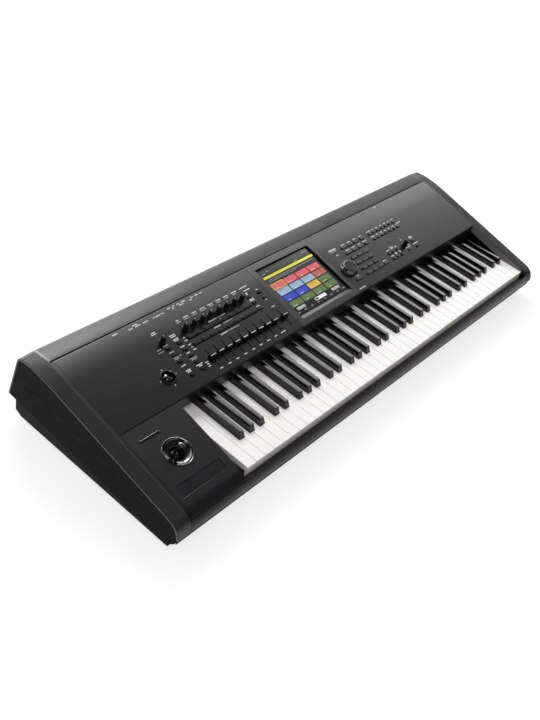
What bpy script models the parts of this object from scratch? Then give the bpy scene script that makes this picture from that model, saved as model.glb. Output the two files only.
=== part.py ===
"""Seventy-three key music workstation: a long sloping case with wooden cheeks, a weighted
keyboard, a touch screen, knobs, sliders and two joysticks.

The frame is metres with +Z up. +X runs from the bass end to the treble end, -Y faces the
player, and the origin lies under the middle of the case, on the surface it stands on.
"""
from math import atan2, cos, pi, radians, sin, tan

import bmesh
import bpy
from mathutils import Matrix, Vector

MM = 0.001

# The whole instrument
BODY_LENGTH = 1206 * MM
BODY_DEPTH = 409 * MM
FOOT_HEIGHT = 8.3 * MM
TOUCH_GAP = 0.3 * MM
CHASSIS_TO_KEY_TOP = 62.7 * MM
KEY_TOP_TO_PANEL_EDGE = 38.8 * MM
PANEL_EDGE_FROM_FRONT = 174.5 * MM
PANEL_SLOPE = radians(12.7)
ROLL_SLOPE = radians(5.8)
ROLL_RADIUS = 440 * MM
TOP_FALL = radians(6)
CROWN_FROM_REAR = 53.5 * MM
CROWN_RADIUS = 100 * MM
ARC_MARGIN = 2.2 * MM
NOSE_RADIUS = 31 * MM
LOWER_NOSE_RADIUS = 14 * MM
LOWER_NOSE_RISE = 22 * MM
CHEEK_TOE_SETBACK = 20.5 * MM
CHEEK_TOE_RISE = 3 * MM
REAR_LEAN = radians(13.2)
REAR_CORNER_RADIUS = 14 * MM
CHEEK_HEEL_RISE = 35 * MM

# Wooden cheeks and the ribbed trims over them
CHEEK_THICKNESS = 12 * MM
TRIM_WIDTH = 29.5 * MM
TRIM_THICKNESS = 3.5 * MM
TRIM_EDGE_DROP = 3 * MM
PANEL_GROOVE = 4.5 * MM
REAR_TRIM_GAP = 0.8 * MM
REAR_GAP_FROM_REAR = 66.7 * MM
REAR_TRIM_SKIRT = 17 * MM

# Steel chassis tray
CHASSIS_WALL = 2.5 * MM
CHASSIS_FLOOR = 1.8 * MM
CHASSIS_REAR_SETBACK = 16.5 * MM
CHASSIS_INSET = 3 * MM
CHASSIS_FRONT_RISE = 32.9 * MM
CHASSIS_FRONT_SETBACK = 2.6 * MM
CHASSIS_REAR_RISE = 34 * MM

# Control panel shells
PANEL_SHEET = 2.5 * MM
FASCIA_HEIGHT = 24 * MM
FASCIA_RADIUS = 2.5 * MM
PANEL_SKIRT = 24 * MM
SEAM = 0.5 * MM

# Keyboard
WHITE_KEYS = 43
KEYS_FROM_LEFT = 175.5 * MM
KEYS_FROM_RIGHT = 36.51 * MM
KEY_FRONT_SETBACK = 18.64 * MM
KEY_GAP = 0.8 * MM
KEY_PLATE = 12 * MM
KEY_LIP_HEIGHT = 25.5 * MM
KEY_LIP_DEPTH = 5 * MM
KEY_PIVOT_FROM_FRONT = 208 * MM
KEY_TAIL = 12 * MM
BLACK_KEY_SETBACK = 51.4 * MM
BLACK_KEY_WIDTH = 13.2 * MM
BLACK_KEY_TOP_WIDTH = 9.6 * MM
BLACK_KEY_RISE = 13 * MM
BLACK_KEY_FRONT_SLOPE = 10 * MM
BLACK_KEY_EDGE = 0.9 * MM
BLACK_KEY_CLEARANCE = 0.6 * MM
KEYS_PER_OCTAVE = 7
BLACK_KEY_MIDDLES = (1.857, 3.0, 4.143, 5.9, 7.1)
OCTAVES_PER_SECTION = 2
KEY_BAR_DEPTH = 6 * MM
BLACK_BAR_DEPTH = 11 * MM
BLACK_BAR_HEIGHT = 8 * MM
BLACK_BAR_GAP = 1 * MM

# Key bed frame
BED_PLATE = 3 * MM
BED_FRONT_RAIL_DEPTH = 10 * MM
BED_FRONT_RAIL_SETBACK = 14 * MM
BED_FRONT_RAIL_DROP = 15 * MM

# Blocks at the two ends of the keys
BLOCK_WALL = 3 * MM
LEFT_BLOCK_TO_KEYS = 16 * MM
LEFT_BLOCK_FLANK = 13.5 * MM
LEFT_BLOCK_FLANK_RISE = 8 * MM
BLOCK_OPENING_REACH = 31 * MM
BLOCK_NOSE_RISE = 55.4 * MM
BLOCK_HEM_RISE = 33.5 * MM
RIGHT_BLOCK_THICKNESS = 2.2 * MM
RIGHT_BLOCK_DROP = 16 * MM
RIGHT_BLOCK_OVERLAP = 10 * MM

# Front rail under the key lips
RAIL_REAR_SETBACK = 16.2 * MM
RAIL_SHOULDER_DROP = 7 * MM

# Display module and its glass
DISPLAY_LEFT = -101.7 * MM
DISPLAY_WIDTH = 193.6 * MM
DISPLAY_SHEET = 3.7 * MM
WINDOW_LEFT_MARGIN = 15.7 * MM
WINDOW_RIGHT_MARGIN = 11.9 * MM
WINDOW_FRONT = 15.5 * MM
WINDOW_REAR_MARGIN = 17 * MM
WINDOW_FRONT_CHAMFER = 8 * MM
GLASS_THICKNESS = 2 * MM
GLASS_MARGIN = 3 * MM
GLASS_TILT = radians(0.75)

# Grid of the controls, in distances along the slope from the panel's front edge
SLIDER_PITCH = 21.5 * MM
FIRST_SLIDER_X = -322 * MM
MIXER_SLIDERS = 9
VALUE_SLIDER_X = -121 * MM
SLOT_FRONT = 16.4 * MM
SLOT_LENGTH = 42.8 * MM
SLOT_WIDTH = 2.2 * MM
SLIDER_REST = 39 * MM
SLIDER_STEM_LENGTH = 5 * MM
SLIDER_STEM_WIDTH = 1.4 * MM
SLIDER_STEM_REACH = 8 * MM
SLIDER_CAP_WIDTH = 15.5 * MM
SLIDER_CAP_LENGTH = 8.5 * MM
SLIDER_CAP_HEIGHT = 10.5 * MM
SLIDER_CAP_TAPER = 1.4 * MM

KNOB_RADIUS = 6.3 * MM
KNOB_WAIST_RADIUS = 5.1 * MM
KNOB_HEIGHT = 16 * MM
KNOB_SKIRT = 3 * MM
KNOB_SHAFT_RADIUS = 3 * MM
KNOB_SHAFT_REACH = 8 * MM
KNOB_ROW = 112 * MM
VOLUME_X = -380 * MM
VOLUME_ROW = 110 * MM
TEMPO_X = 316 * MM
TEMPO_ROW = 46 * MM
REALTIME_KNOBS = 8

DIAL_X = 121 * MM
DIAL_ROW = 61 * MM
DIAL_RADIUS = 19.5 * MM
DIAL_HEIGHT = 9 * MM

BUTTON_HEIGHT = 1.8 * MM
BUTTON_DEPTH = 4.5 * MM
BUTTON_CLEARANCE = 0.4 * MM
SMALL_BUTTON = (9.4 * MM, 5.2 * MM)
LONG_BUTTON = (20.9 * MM, 6 * MM)
KEYPAD_BUTTON = (18.4 * MM, 6 * MM)
LAST_MODE_BUTTON = (12.2 * MM, 6 * MM)
BANK_BUTTON = (9.2 * MM, 5.2 * MM)
UPPER_ROW = 93.5 * MM
ROW_STEP = 16 * MM
LOWER_ROW = UPPER_ROW - ROW_STEP
COLUMN_ONE_X = -380 * MM
COLUMN_TWO_X = -353 * MM
END_COLUMN_X = -151 * MM
KEYPAD_X = 160 * MM
KEYPAD_ROW = 29.5 * MM
LAST_MODE_X = 225.7 * MM
BANK_X = 258 * MM
BANK_PITCH = 15.65 * MM
BANK_BUTTONS = 7
TRANSPORT_X = 256.6 * MM
TRANSPORT_ROW = 29.5 * MM
RUNNER_THICKNESS = 1.2 * MM
RUNNER_WIDTH = 3 * MM
RUNNER_SINK = 0.3 * MM

# Joystick on the left block and the smaller vector joystick on the panel
JOYSTICK_FROM_END = 59.5 * MM
JOYSTICK_ROW = -72.5 * MM
BOWL_RADIUS = 27.3 * MM
BOWL_WALL = 2 * MM
BOWL_DISH = 6 * MM
BOWL_SKIRT = 24 * MM
BOWL_MOUTH_RADIUS = 13 * MM
STICK_PIVOT_DEPTH = 16 * MM
STICK_BALL_RADIUS = 13 * MM
STICK_RADIUS = 3.4 * MM
STICK_TIP_RADIUS = 4.6 * MM
STICK_TIP_HEIGHT = 22 * MM
GIMBAL_RING = 2.5 * MM
GIMBAL_HALF_HEIGHT = 2.2 * MM
GIMBAL_PIN_RADIUS = 1.5 * MM
VECTOR_X = -422.5 * MM
VECTOR_ROW = 46.5 * MM
VECTOR_SCALE = 0.52
VECTOR_TIP_HEIGHT = 17.5 * MM
VECTOR_RING_RADIUS = 15 * MM
VECTOR_RING_WALL = 2.6 * MM
VECTOR_RING_RISE = 1.6 * MM
VECTOR_RING_DEPTH = 12 * MM
PIVOT_GAP = 0.8 * MM

# Assign switches and ribbon strip on the left block
SWITCHES_FROM_END = 17 * MM
SWITCH_SLOT = (43 * MM, 6.6 * MM)
SWITCH_ROW = -26.8 * MM
RIBBON_FROM_END = 9.7 * MM
RIBBON = (100 * MM, 21.6 * MM)
RIBBON_ROW = -130.1 * MM
RIBBON_RECESS = 1.8 * MM
RIBBON_THICKNESS = 0.6 * MM

# Rear connector panel
JACK_PANEL_SETBACK = 25 * MM
JACK_PANEL_SHEET = 2 * MM
JACK_PITCH = 22 * MM
FIRST_JACK_FROM_END = 103 * MM
JACKS = 10
JACK_RADIUS = 5.6 * MM
JACK_BORE = 3.25 * MM
JACK_RISE = 34 * MM
JACK_BODY = 12 * MM
JACK_NUT = 1.6 * MM
JACK_BORE_DEPTH = 3.6 * MM
DIN_RADIUS = 8.4 * MM
DIN_X = (-240 * MM, -212 * MM)
DIN_RECESS = 2.5 * MM
DATA_SOCKET = (13.4 * MM, 6 * MM)
DATA_X = (-180 * MM, -160 * MM, -140 * MM)
INLET_X = 340 * MM
INLET = (31 * MM, 24 * MM)
INLET_WALL = 2 * MM
INLET_RECESS = 15 * MM
INLET_BODY = 18 * MM
POWER_SWITCH_X = 300 * MM
POWER_SWITCH_WIDTH = 14 * MM
POWER_SWITCH_RADIUS = 9.6 * MM
POWER_SWITCH_THROW = radians(14)

# Boards and power supply
BOARD = 1.6 * MM
BOARD_DROP = 13 * MM
CONTROL_BOARD = (-345 * MM, 372 * MM)
BOARD_FRONT = 10 * MM
BOARD_DEPTH = 108 * MM
STANDOFF = 6 * MM
MAIN_BOARD = (-80 * MM, 400 * MM)
MAIN_BOARD_CLEARANCE = 27 * MM
MAIN_BOARD_LIFT = 7 * MM
POWER_SUPPLY = (255 * MM, 385 * MM)
POWER_SUPPLY_SHARE = 0.76
POWER_SUPPLY_HEIGHT = 36 * MM
TRAY_REAR_CLEARANCE = 22 * MM

# Feet
FOOT_RADIUS = 12 * MM
FOOT_FROM_END = 67 * MM
FOOT_FRONT_SETBACK = 36.5 * MM
FOOT_REAR_SETBACK = 46 * MM

# Heights and depths worked out from the sizes above
FRONT_Y = -BODY_DEPTH / 2
REAR_Y = BODY_DEPTH / 2
HALF_LENGTH = BODY_LENGTH / 2
BOTTOM_Z = FOOT_HEIGHT
KEY_TOP_Z = BOTTOM_Z + CHASSIS_TO_KEY_TOP
PANEL_EDGE_Z = KEY_TOP_Z + KEY_TOP_TO_PANEL_EDGE
PANEL_EDGE_Y = FRONT_Y + PANEL_EDGE_FROM_FRONT
KEY_LEFT_X = -HALF_LENGTH + KEYS_FROM_LEFT
KEY_RIGHT_X = HALF_LENGTH - KEYS_FROM_RIGHT
KEY_PITCH = (KEY_RIGHT_X - KEY_LEFT_X) / WHITE_KEYS
KEY_FRONT_Y = FRONT_Y + KEY_FRONT_SETBACK
KEY_UNDERSIDE_Z = KEY_TOP_Z - KEY_PLATE
KEY_PIVOT_Y = KEY_FRONT_Y + KEY_PIVOT_FROM_FRONT
KEY_TAIL_Y = KEY_PIVOT_Y + KEY_TAIL
BLACK_TAIL_Y = KEY_TAIL_Y - KEY_BAR_DEPTH - 1.5 * KEY_GAP
GROOVE_X = HALF_LENGTH - TRIM_WIDTH
PANEL_END_X = GROOVE_X - PANEL_GROOVE
CHEEK_INNER_X = HALF_LENGTH - CHEEK_THICKNESS
CHEEK_HEEL_Z = BOTTOM_Z + CHEEK_HEEL_RISE
CHEEK_TOE = (FRONT_Y + CHEEK_TOE_SETBACK, BOTTOM_Z + CHEEK_TOE_RISE)
FLOOR_TOP_Z = BOTTOM_Z + CHASSIS_FLOOR
CHASSIS_REAR_Y = REAR_Y - CHASSIS_REAR_SETBACK
CHASSIS_FRONT_Y = FRONT_Y + CHASSIS_FRONT_SETBACK
CHASSIS_FRONT_TOP_Z = BOTTOM_Z + CHASSIS_FRONT_RISE
CHASSIS_REAR_TOP_Z = BOTTOM_Z + CHASSIS_REAR_RISE
RAIL_BOTTOM_Z = CHASSIS_FRONT_TOP_Z + TOUCH_GAP
BLOCK_NOSE_Z = BOTTOM_Z + BLOCK_NOSE_RISE
DISPLAY_RIGHT = DISPLAY_LEFT + DISPLAY_WIDTH
REAR_GAP_Y = REAR_Y - REAR_GAP_FROM_REAR
CROWN_Y = REAR_Y - CROWN_FROM_REAR
CROWN_REACH = CROWN_RADIUS * tan((ROLL_SLOPE + TOP_FALL) / 2)
ROLL_REACH = ROLL_RADIUS * tan((PANEL_SLOPE - ROLL_SLOPE) / 2)
ROLL_Y = CROWN_Y - CROWN_REACH - ROLL_REACH - ARC_MARGIN
WINDOW_LEFT = DISPLAY_LEFT + WINDOW_LEFT_MARGIN
WINDOW_WIDTH = DISPLAY_WIDTH - WINDOW_LEFT_MARGIN - WINDOW_RIGHT_MARGIN
WINDOW_DEPTH = (REAR_GAP_Y - PANEL_EDGE_Y) / cos(PANEL_SLOPE) - WINDOW_FRONT - WINDOW_REAR_MARGIN
JOYSTICK_X = -PANEL_END_X + JOYSTICK_FROM_END
SWITCH_SLOT_LEFT = -PANEL_END_X + SWITCHES_FROM_END
RIBBON_LEFT = -PANEL_END_X + RIBBON_FROM_END
FIRST_JACK_X = -HALF_LENGTH + FIRST_JACK_FROM_END
FOOT_X = HALF_LENGTH - FOOT_FROM_END
JACK_PANEL_Y = REAR_Y - JACK_PANEL_SETBACK
JACK_Z = CHASSIS_REAR_TOP_Z + JACK_RISE

COLOURS = {
    "satin_black": (0.016, 0.016, 0.017, 1),
    "gloss_black": (0.006, 0.006, 0.007, 1),
    "key_white": (0.82, 0.82, 0.80, 1),
    "stained_wood": (0.018, 0.017, 0.017, 1),
    "steel": (0.10, 0.10, 0.10, 1),
    "glass": (0.02, 0.02, 0.025, 1),
    "board_green": (0.02, 0.09, 0.04, 1),
    "rubber": (0.012, 0.012, 0.012, 1),
}


def clear_scene():
    for thing in list(bpy.data.objects):
        bpy.data.objects.remove(thing, do_unlink=True)


def new_collection(name):
    collection = bpy.data.collections.new(name)
    bpy.context.scene.collection.children.link(collection)
    return collection


def finish(name, colour, roughness, metallic=0.0):
    material = bpy.data.materials.new(name)
    material.use_nodes = True
    shader = material.node_tree.nodes["Principled BSDF"]
    shader.inputs["Base Color"].default_value = COLOURS[colour]
    shader.inputs["Roughness"].default_value = roughness
    shader.inputs["Metallic"].default_value = metallic
    return material


def slope_frame(x=0.0, along=0.0, height=0.0):
    """Axes on the panel's plane: X as is, Y up the slope, Z out of the panel."""
    start = Vector((x, PANEL_EDGE_Y, PANEL_EDGE_Z))
    turn = Matrix.Rotation(PANEL_SLOPE, 4, "X")
    return Matrix.Translation(start) @ turn @ Matrix.Translation((0, along, height))


def slope_z(y):
    return PANEL_EDGE_Z + (y - PANEL_EDGE_Y) * tan(PANEL_SLOPE)


def evaluated_mesh(thing):
    """The object's mesh with its modifiers, or its curve as a welded mesh, in world axes."""
    bpy.context.view_layer.update()
    graph = bpy.context.evaluated_depsgraph_get()
    mesh = bpy.data.meshes.new_from_object(thing.evaluated_get(graph))
    mesh.transform(thing.matrix_world)
    shape = bmesh.new()
    shape.from_mesh(mesh)
    bmesh.ops.remove_doubles(shape, verts=shape.verts, dist=0.00001)
    shape.to_mesh(mesh)
    shape.free()
    return mesh


def bake(thing):
    mesh = evaluated_mesh(thing)
    bpy.data.objects.remove(thing, do_unlink=True)
    return mesh


def place(name, mesh, material=None, origin=(0, 0, 0), turn=0.0, collection=None):
    """An object from a mesh in world axes, its origin moved to a joint or a seat."""
    frame = Matrix.Translation(origin) @ Matrix.Rotation(turn, 4, "X")
    mesh.transform(frame.inverted())
    mesh.name = name
    if material:
        mesh.materials.clear()
        mesh.materials.append(material)
    thing = bpy.data.objects.new(name, mesh)
    thing.matrix_world = frame
    (collection or PARTS).objects.link(thing)
    return thing


def prism(points, length, frame):
    """A flat outline in a frame's X-Y plane, made solid along the frame's Z by a length."""
    curve = bpy.data.curves.new("outline", "CURVE")
    curve.dimensions = "2D"
    curve.fill_mode = "BOTH"
    curve.extrude = length / 2
    spline = curve.splines.new("POLY")
    spline.points.add(len(points) - 1)
    for point, (across, up) in zip(spline.points, points):
        point.co = (across, up, 0, 1)
    spline.use_cyclic_u = True
    thing = bpy.data.objects.new("outline", curve)
    thing.matrix_world = frame @ Matrix.Translation((0, 0, length / 2))
    bpy.context.scene.collection.objects.link(thing)
    mesh = bake(thing)
    bpy.data.curves.remove(curve)
    return mesh


def side_prism(points, x_low, x_high):
    """A Y-Z outline made solid from one X to another."""
    axes = Matrix(((0, 0, 1, x_low), (1, 0, 0, 0), (0, 1, 0, 0), (0, 0, 0, 1)))
    return prism(points, x_high - x_low, axes)


def joined(meshes):
    """Separate solids in one mesh."""
    shape = bmesh.new()
    for mesh in meshes:
        shape.from_mesh(mesh)
    result = bpy.data.meshes.new("joined")
    shape.to_mesh(result)
    shape.free()
    return result


def box(low, high, frame=None):
    shape = bmesh.new()
    centre = (Vector(low) + Vector(high)) / 2
    size = Vector(high) - Vector(low)
    bmesh.ops.create_cube(shape, size=1.0, matrix=Matrix.Translation(centre) @ Matrix.Diagonal((*size, 1)))
    if frame:
        shape.transform(frame)
    mesh = bpy.data.meshes.new("box")
    shape.to_mesh(mesh)
    shape.free()
    return mesh


def slope_box(x, along, size, low, high):
    """A box centred on a point of the panel, between two heights over it."""
    half_x, half_y = size[0] / 2, size[1] / 2
    return box((x - half_x, along - half_y, low), (x + half_x, along + half_y, high), slope_frame())


def rod(radius, low, high, sides, frame):
    shape = bmesh.new()
    length = high - low
    bmesh.ops.create_cone(shape, cap_ends=True, segments=sides, radius1=radius, radius2=radius,
                          depth=length, matrix=frame @ Matrix.Translation((0, 0, (low + high) / 2)))
    mesh = bpy.data.meshes.new("rod")
    shape.to_mesh(mesh)
    shape.free()
    return mesh


def turned(profile, steps, frame):
    """A profile of radius and height, run down its outer side, turned about the frame's Z."""
    mesh = bpy.data.meshes.new("profile")
    mesh.from_pydata([(radius, 0, height) for radius, height in profile],
                     [(i, i + 1) for i in range(len(profile) - 1)], [])
    thing = bpy.data.objects.new("profile", mesh)
    bpy.context.scene.collection.objects.link(thing)
    screw = thing.modifiers.new("turned", "SCREW")
    screw.steps = steps
    screw.render_steps = steps
    screw.use_merge_vertices = True
    screw.merge_threshold = 0.00001
    thing.matrix_world = frame
    result = bake(thing)
    bpy.data.meshes.remove(mesh)
    return result


def smooth(thing, angle=radians(35)):
    thing.data.shade_smooth()
    thing.data.set_sharp_from_angle(angle=angle)
    return thing


def cut(thing, name, meshes, operation="DIFFERENCE"):
    """Cuts the thing with separate solids, kept as one hidden cutter."""
    tool = place(name, joined(meshes), collection=CUTTERS)
    tool.hide_render = True
    tool.display_type = "WIRE"
    boolean = thing.modifiers.new(name, "BOOLEAN")
    boolean.operation = operation
    boolean.solver = "EXACT"
    boolean.object = tool
    return thing


def line_meet(point_a, angle_a, point_b, angle_b):
    """Where two lines in the Y-Z plane meet, each given by a point and its angle."""
    (ya, za), (yb, zb) = point_a, point_b
    ca, sa, cb, sb = cos(angle_a), sin(angle_a), cos(angle_b), sin(angle_b)
    step = ((yb - ya) * sb - (zb - za) * cb) / (ca * sb - sa * cb)
    return (ya + step * ca, za + step * sa)


def rounded(corners, radii, steps):
    """A path through corners, each turned into an arc of its radius."""
    path = [corners[0]]
    for i in range(1, len(corners) - 1):
        before, corner, after = (Vector(c) for c in corners[i - 1:i + 2])
        into = (before - corner).normalized()
        out = (after - corner).normalized()
        half = into.angle(out) / 2
        reach = radii[i - 1] / tan(half)
        centre = corner + (into + out).normalized() * radii[i - 1] / sin(half)
        start = corner + into * reach - centre
        turn = start.angle_signed(corner + out * reach - centre)
        for k in range(steps + 1):
            swing = -turn * k / steps
            path.append(tuple(centre + Matrix.Rotation(swing, 2) @ start))
    path.append(corners[-1])
    return path


def upper_outline(rise=0.0, inset=0.0, steps=6):
    """The case's side view from its rear lower corner over the top to under the nose."""
    slope_point = (PANEL_EDGE_Y, PANEL_EDGE_Z + rise - inset / cos(PANEL_SLOPE))
    roll = (ROLL_Y, slope_z(ROLL_Y) + rise - inset / cos(PANEL_SLOPE))
    crown = (CROWN_Y, roll[1] + (CROWN_Y - ROLL_Y) * tan(ROLL_SLOPE))
    rear_point = (REAR_Y - inset / cos(REAR_LEAN), CHEEK_HEEL_Z)
    rear_top = line_meet(rear_point, pi / 2 + REAR_LEAN, crown, -TOP_FALL)
    nose = line_meet((FRONT_Y + inset, 0), pi / 2, slope_point, PANEL_SLOPE)
    toe_angle = atan2(LOWER_NOSE_RISE - CHEEK_TOE_RISE, -CHEEK_TOE_SETBACK)
    toe = (CHEEK_TOE[0] + inset * sin(toe_angle), CHEEK_TOE[1] - inset * cos(toe_angle))
    under = line_meet((FRONT_Y + inset, 0), pi / 2, toe, toe_angle)
    radii = [radius - inset for radius in (REAR_CORNER_RADIUS, CROWN_RADIUS, ROLL_RADIUS,
                                           NOSE_RADIUS, LOWER_NOSE_RADIUS)]
    return rounded([rear_point, rear_top, crown, roll, nose, under, toe], radii, steps)


def clipped(path, axis, value, above):
    """The part of a path on one side of a level, with a point where it crosses."""
    keep = (lambda p: p[axis] >= value) if above else (lambda p: p[axis] <= value)
    result = []
    for a, b in zip(path, path[1:]):
        if keep(a):
            result.append(a)
        if keep(a) != keep(b):
            share = (value - a[axis]) / (b[axis] - a[axis])
            result.append((a[0] + share * (b[0] - a[0]), a[1] + share * (b[1] - a[1])))
    if keep(path[-1]):
        result.append(path[-1])
    return result


def cheek_hem_z(y):
    """Height of the cheeks' slanting lower edge."""
    share = (y - CHEEK_TOE[0]) / (REAR_Y - CHEEK_TOE[0])
    return CHEEK_TOE[1] + share * (CHEEK_HEEL_Z - CHEEK_TOE[1])


def white_key_x(index):
    return KEY_LEFT_X + index * KEY_PITCH


def black_key_places():
    """The X of the middle of every black key."""
    return [white_key_x(middle + octave * KEYS_PER_OCTAVE)
            for octave in range(WHITE_KEYS // KEYS_PER_OCTAVE) for middle in BLACK_KEY_MIDDLES]


def key_sections():
    """Name, first white key and the one past the last of each section of the keyboard."""
    step = OCTAVES_PER_SECTION * KEYS_PER_OCTAVE
    names = ("low", "middle", "high")
    for place, name in enumerate(names):
        after = WHITE_KEYS if name == names[-1] else (place + 1) * step
        yield name, place * step, after


def make_chassis():
    """A folded steel tray with an upright front lip and rear wall."""
    front_low = FRONT_Y + CHEEK_TOE_SETBACK
    outline = [(CHASSIS_FRONT_Y, CHASSIS_FRONT_TOP_Z),
               (CHASSIS_FRONT_Y, BOTTOM_Z + LOWER_NOSE_RISE),
               (front_low, BOTTOM_Z),
               (CHASSIS_REAR_Y - LOWER_NOSE_RADIUS, BOTTOM_Z),
               (CHASSIS_REAR_Y, BOTTOM_Z + LOWER_NOSE_RADIUS / 2),
               (CHASSIS_REAR_Y, CHASSIS_REAR_TOP_Z),
               (CHASSIS_REAR_Y - CHASSIS_WALL, CHASSIS_REAR_TOP_Z)]
    over = KEY_TOP_Z
    pocket = [(CHASSIS_FRONT_Y + CHASSIS_WALL, over),
              (CHASSIS_FRONT_Y + CHASSIS_WALL, BOTTOM_Z + LOWER_NOSE_RISE),
              (front_low + CHASSIS_WALL, FLOOR_TOP_Z),
              (CHASSIS_REAR_Y - LOWER_NOSE_RADIUS - CHASSIS_WALL, FLOOR_TOP_Z),
              (CHASSIS_REAR_Y - CHASSIS_WALL, FLOOR_TOP_Z + LOWER_NOSE_RADIUS / 2),
              (CHASSIS_REAR_Y - CHASSIS_WALL, over)]
    half = HALF_LENGTH - CHASSIS_INSET
    inner = CHEEK_INNER_X - TOUCH_GAP
    tray = place("bottom_chassis", side_prism(outline, -half, half),
                 finish("powder coated steel", "steel", 0.55))
    cut(tray, "chassis_pocket", [side_prism(pocket, CHASSIS_WALL - inner, inner - CHASSIS_WALL)])
    front = CHASSIS_FRONT_Y + CHASSIS_WALL
    above = [(front, cheek_hem_z(front) - TOUCH_GAP), (REAR_Y, cheek_hem_z(REAR_Y) - TOUCH_GAP),
             (REAR_Y, over), (front, over)]
    outer = HALF_LENGTH + CHASSIS_INSET
    cut(tray, "cheek_seats", [side_prism(above, -outer, -inner), side_prism(above, inner, outer)])


def make_cheeks():
    """Stained wooden end panels under the trims."""
    wood = finish("black stained ash", "stained_wood", 0.5)
    inset = TRIM_THICKNESS + TOUCH_GAP
    for name, side in (("left_side_panel", -1), ("right_side_panel", 1)):
        x_low, x_high = sorted((side * CHEEK_INNER_X, side * HALF_LENGTH))
        cheek = place(name, side_prism(upper_outline(-TRIM_EDGE_DROP, inset), x_low, x_high), wood)
        lip = CHASSIS_FRONT_Y + CHASSIS_WALL + TOUCH_GAP
        reach = CHASSIS_INSET
        notch = box((x_low - reach, FRONT_Y - reach, 0), (x_high + reach, lip, RAIL_BOTTOM_Z))
        cut(cheek, f"{name}_notch", [notch])


def sheet_between(outer_a, inner_a, x_a, outer_b, inner_b, x_b):
    """A sheet lofted between two unlike side views of the same count of points."""
    shape = bmesh.new()
    rings = []
    for oa, ia, ob, ib in zip(outer_a, inner_a, outer_b, inner_b):
        corners = ((x_a, *oa), (x_b, *ob), (x_b, *ib), (x_a, *ia))
        rings.append([shape.verts.new(corner) for corner in corners])
    for first, second in zip(rings, rings[1:]):
        for k in range(4):
            after = (k + 1) % 4
            shape.faces.new((first[k], first[after], second[after], second[k]))
    shape.faces.new(rings[0][::-1])
    shape.faces.new(rings[-1])
    bmesh.ops.recalc_face_normals(shape, faces=shape.faces)
    mesh = bpy.data.meshes.new("sheet")
    shape.to_mesh(mesh)
    shape.free()
    return mesh


def make_side_trims():
    """Curved trims that cap the cheeks, a little lower at their outer edges."""
    ribbed = finish("ribbed trim plastic", "satin_black", 0.5)
    paths = [clipped(upper_outline(rise, inset), 1, RAIL_BOTTOM_Z, True)
             for rise in (-TRIM_EDGE_DROP, TOUCH_GAP) for inset in (0.0, TRIM_THICKNESS)]
    for name, side in (("left_side_trim", -1), ("right_side_trim", 1)):
        trim = sheet_between(paths[0], paths[1], side * HALF_LENGTH, paths[2], paths[3], side * GROOVE_X)
        smooth(place(name, trim, ribbed))


def make_rear_trim():
    gap_y = REAR_GAP_Y
    paths = []
    for inset in (0.0, TRIM_THICKNESS):
        path = clipped(upper_outline(0.0, inset), 0, gap_y + REAR_TRIM_GAP, True)
        low = slope_z(gap_y) - REAR_TRIM_SKIRT
        paths.append(clipped(path, 1, low, True))
    outline = paths[0] + paths[1][::-1]
    half = GROOVE_X - TOUCH_GAP
    smooth(place("rear_trim", side_prism(outline, -half, half),
                 finish("cross ribbed trim plastic", "satin_black", 0.5)))


def panel_outline(inset=0.0, drop=0.0):
    """Side view of a control panel shell: fascia, slope, roll to the rear gap."""
    gap_y = REAR_GAP_Y - inset
    front = PANEL_EDGE_Y + inset
    top = clipped(clipped(upper_outline(0.0, inset), 0, gap_y, False), 0, front, True)
    edge = top[-1]
    radius = FASCIA_RADIUS - inset
    hem = PANEL_EDGE_Z - FASCIA_HEIGHT - drop
    if radius > 0:
        bend = rounded([top[-2], edge, (front, hem)], [radius], 3)[1:-1]
    else:
        bend = [edge]
    back_low = (gap_y, top[0][1] - PANEL_SKIRT + inset - drop)
    return top[:-1] + bend + [(front, hem), back_low]


def shell_between(x_low, x_high, sheet, walls=(True, True)):
    """A panel shell open underneath, and its hollow, with a wall at each closed end."""
    low = x_low + sheet if walls[0] else x_low - sheet
    high = x_high - sheet if walls[1] else x_high + sheet
    return side_prism(panel_outline(), x_low, x_high), side_prism(panel_outline(sheet, PANEL_SKIRT), low, high)


def knob_places():
    """Name, X and place up the slope of every knob."""
    for i in range(REALTIME_KNOBS):
        yield f"control_knob_{i + 1}", FIRST_SLIDER_X + i * SLIDER_PITCH, KNOB_ROW
    yield "volume_knob", VOLUME_X, VOLUME_ROW
    yield "tempo_knob", TEMPO_X, TEMPO_ROW


def slider_places():
    for i in range(MIXER_SLIDERS):
        yield f"mixer_slider_{i + 1}", FIRST_SLIDER_X + i * SLIDER_PITCH
    yield "value_slider", VALUE_SLIDER_X


def left_buttons():
    """Small buttons around the mixer section, and two rows of long switches under the knobs."""
    places = [(COLUMN_ONE_X, UPPER_ROW - k * ROW_STEP) for k in (0, 1, 2, 4)]
    places += [(COLUMN_TWO_X, UPPER_ROW - k * ROW_STEP) for k in range(5)]
    places += [(END_COLUMN_X, UPPER_ROW + k * ROW_STEP) for k in (-1, 0, 1)]
    places += [(VALUE_SLIDER_X, UPPER_ROW + k * ROW_STEP) for k in (0, 1)]
    long_rows = [(FIRST_SLIDER_X + i * SLIDER_PITCH, row, LONG_BUTTON)
                 for row in (UPPER_ROW, LOWER_ROW) for i in range(REALTIME_KNOBS)]
    return [(x, row, SMALL_BUTTON) for x, row in places] + long_rows


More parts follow.
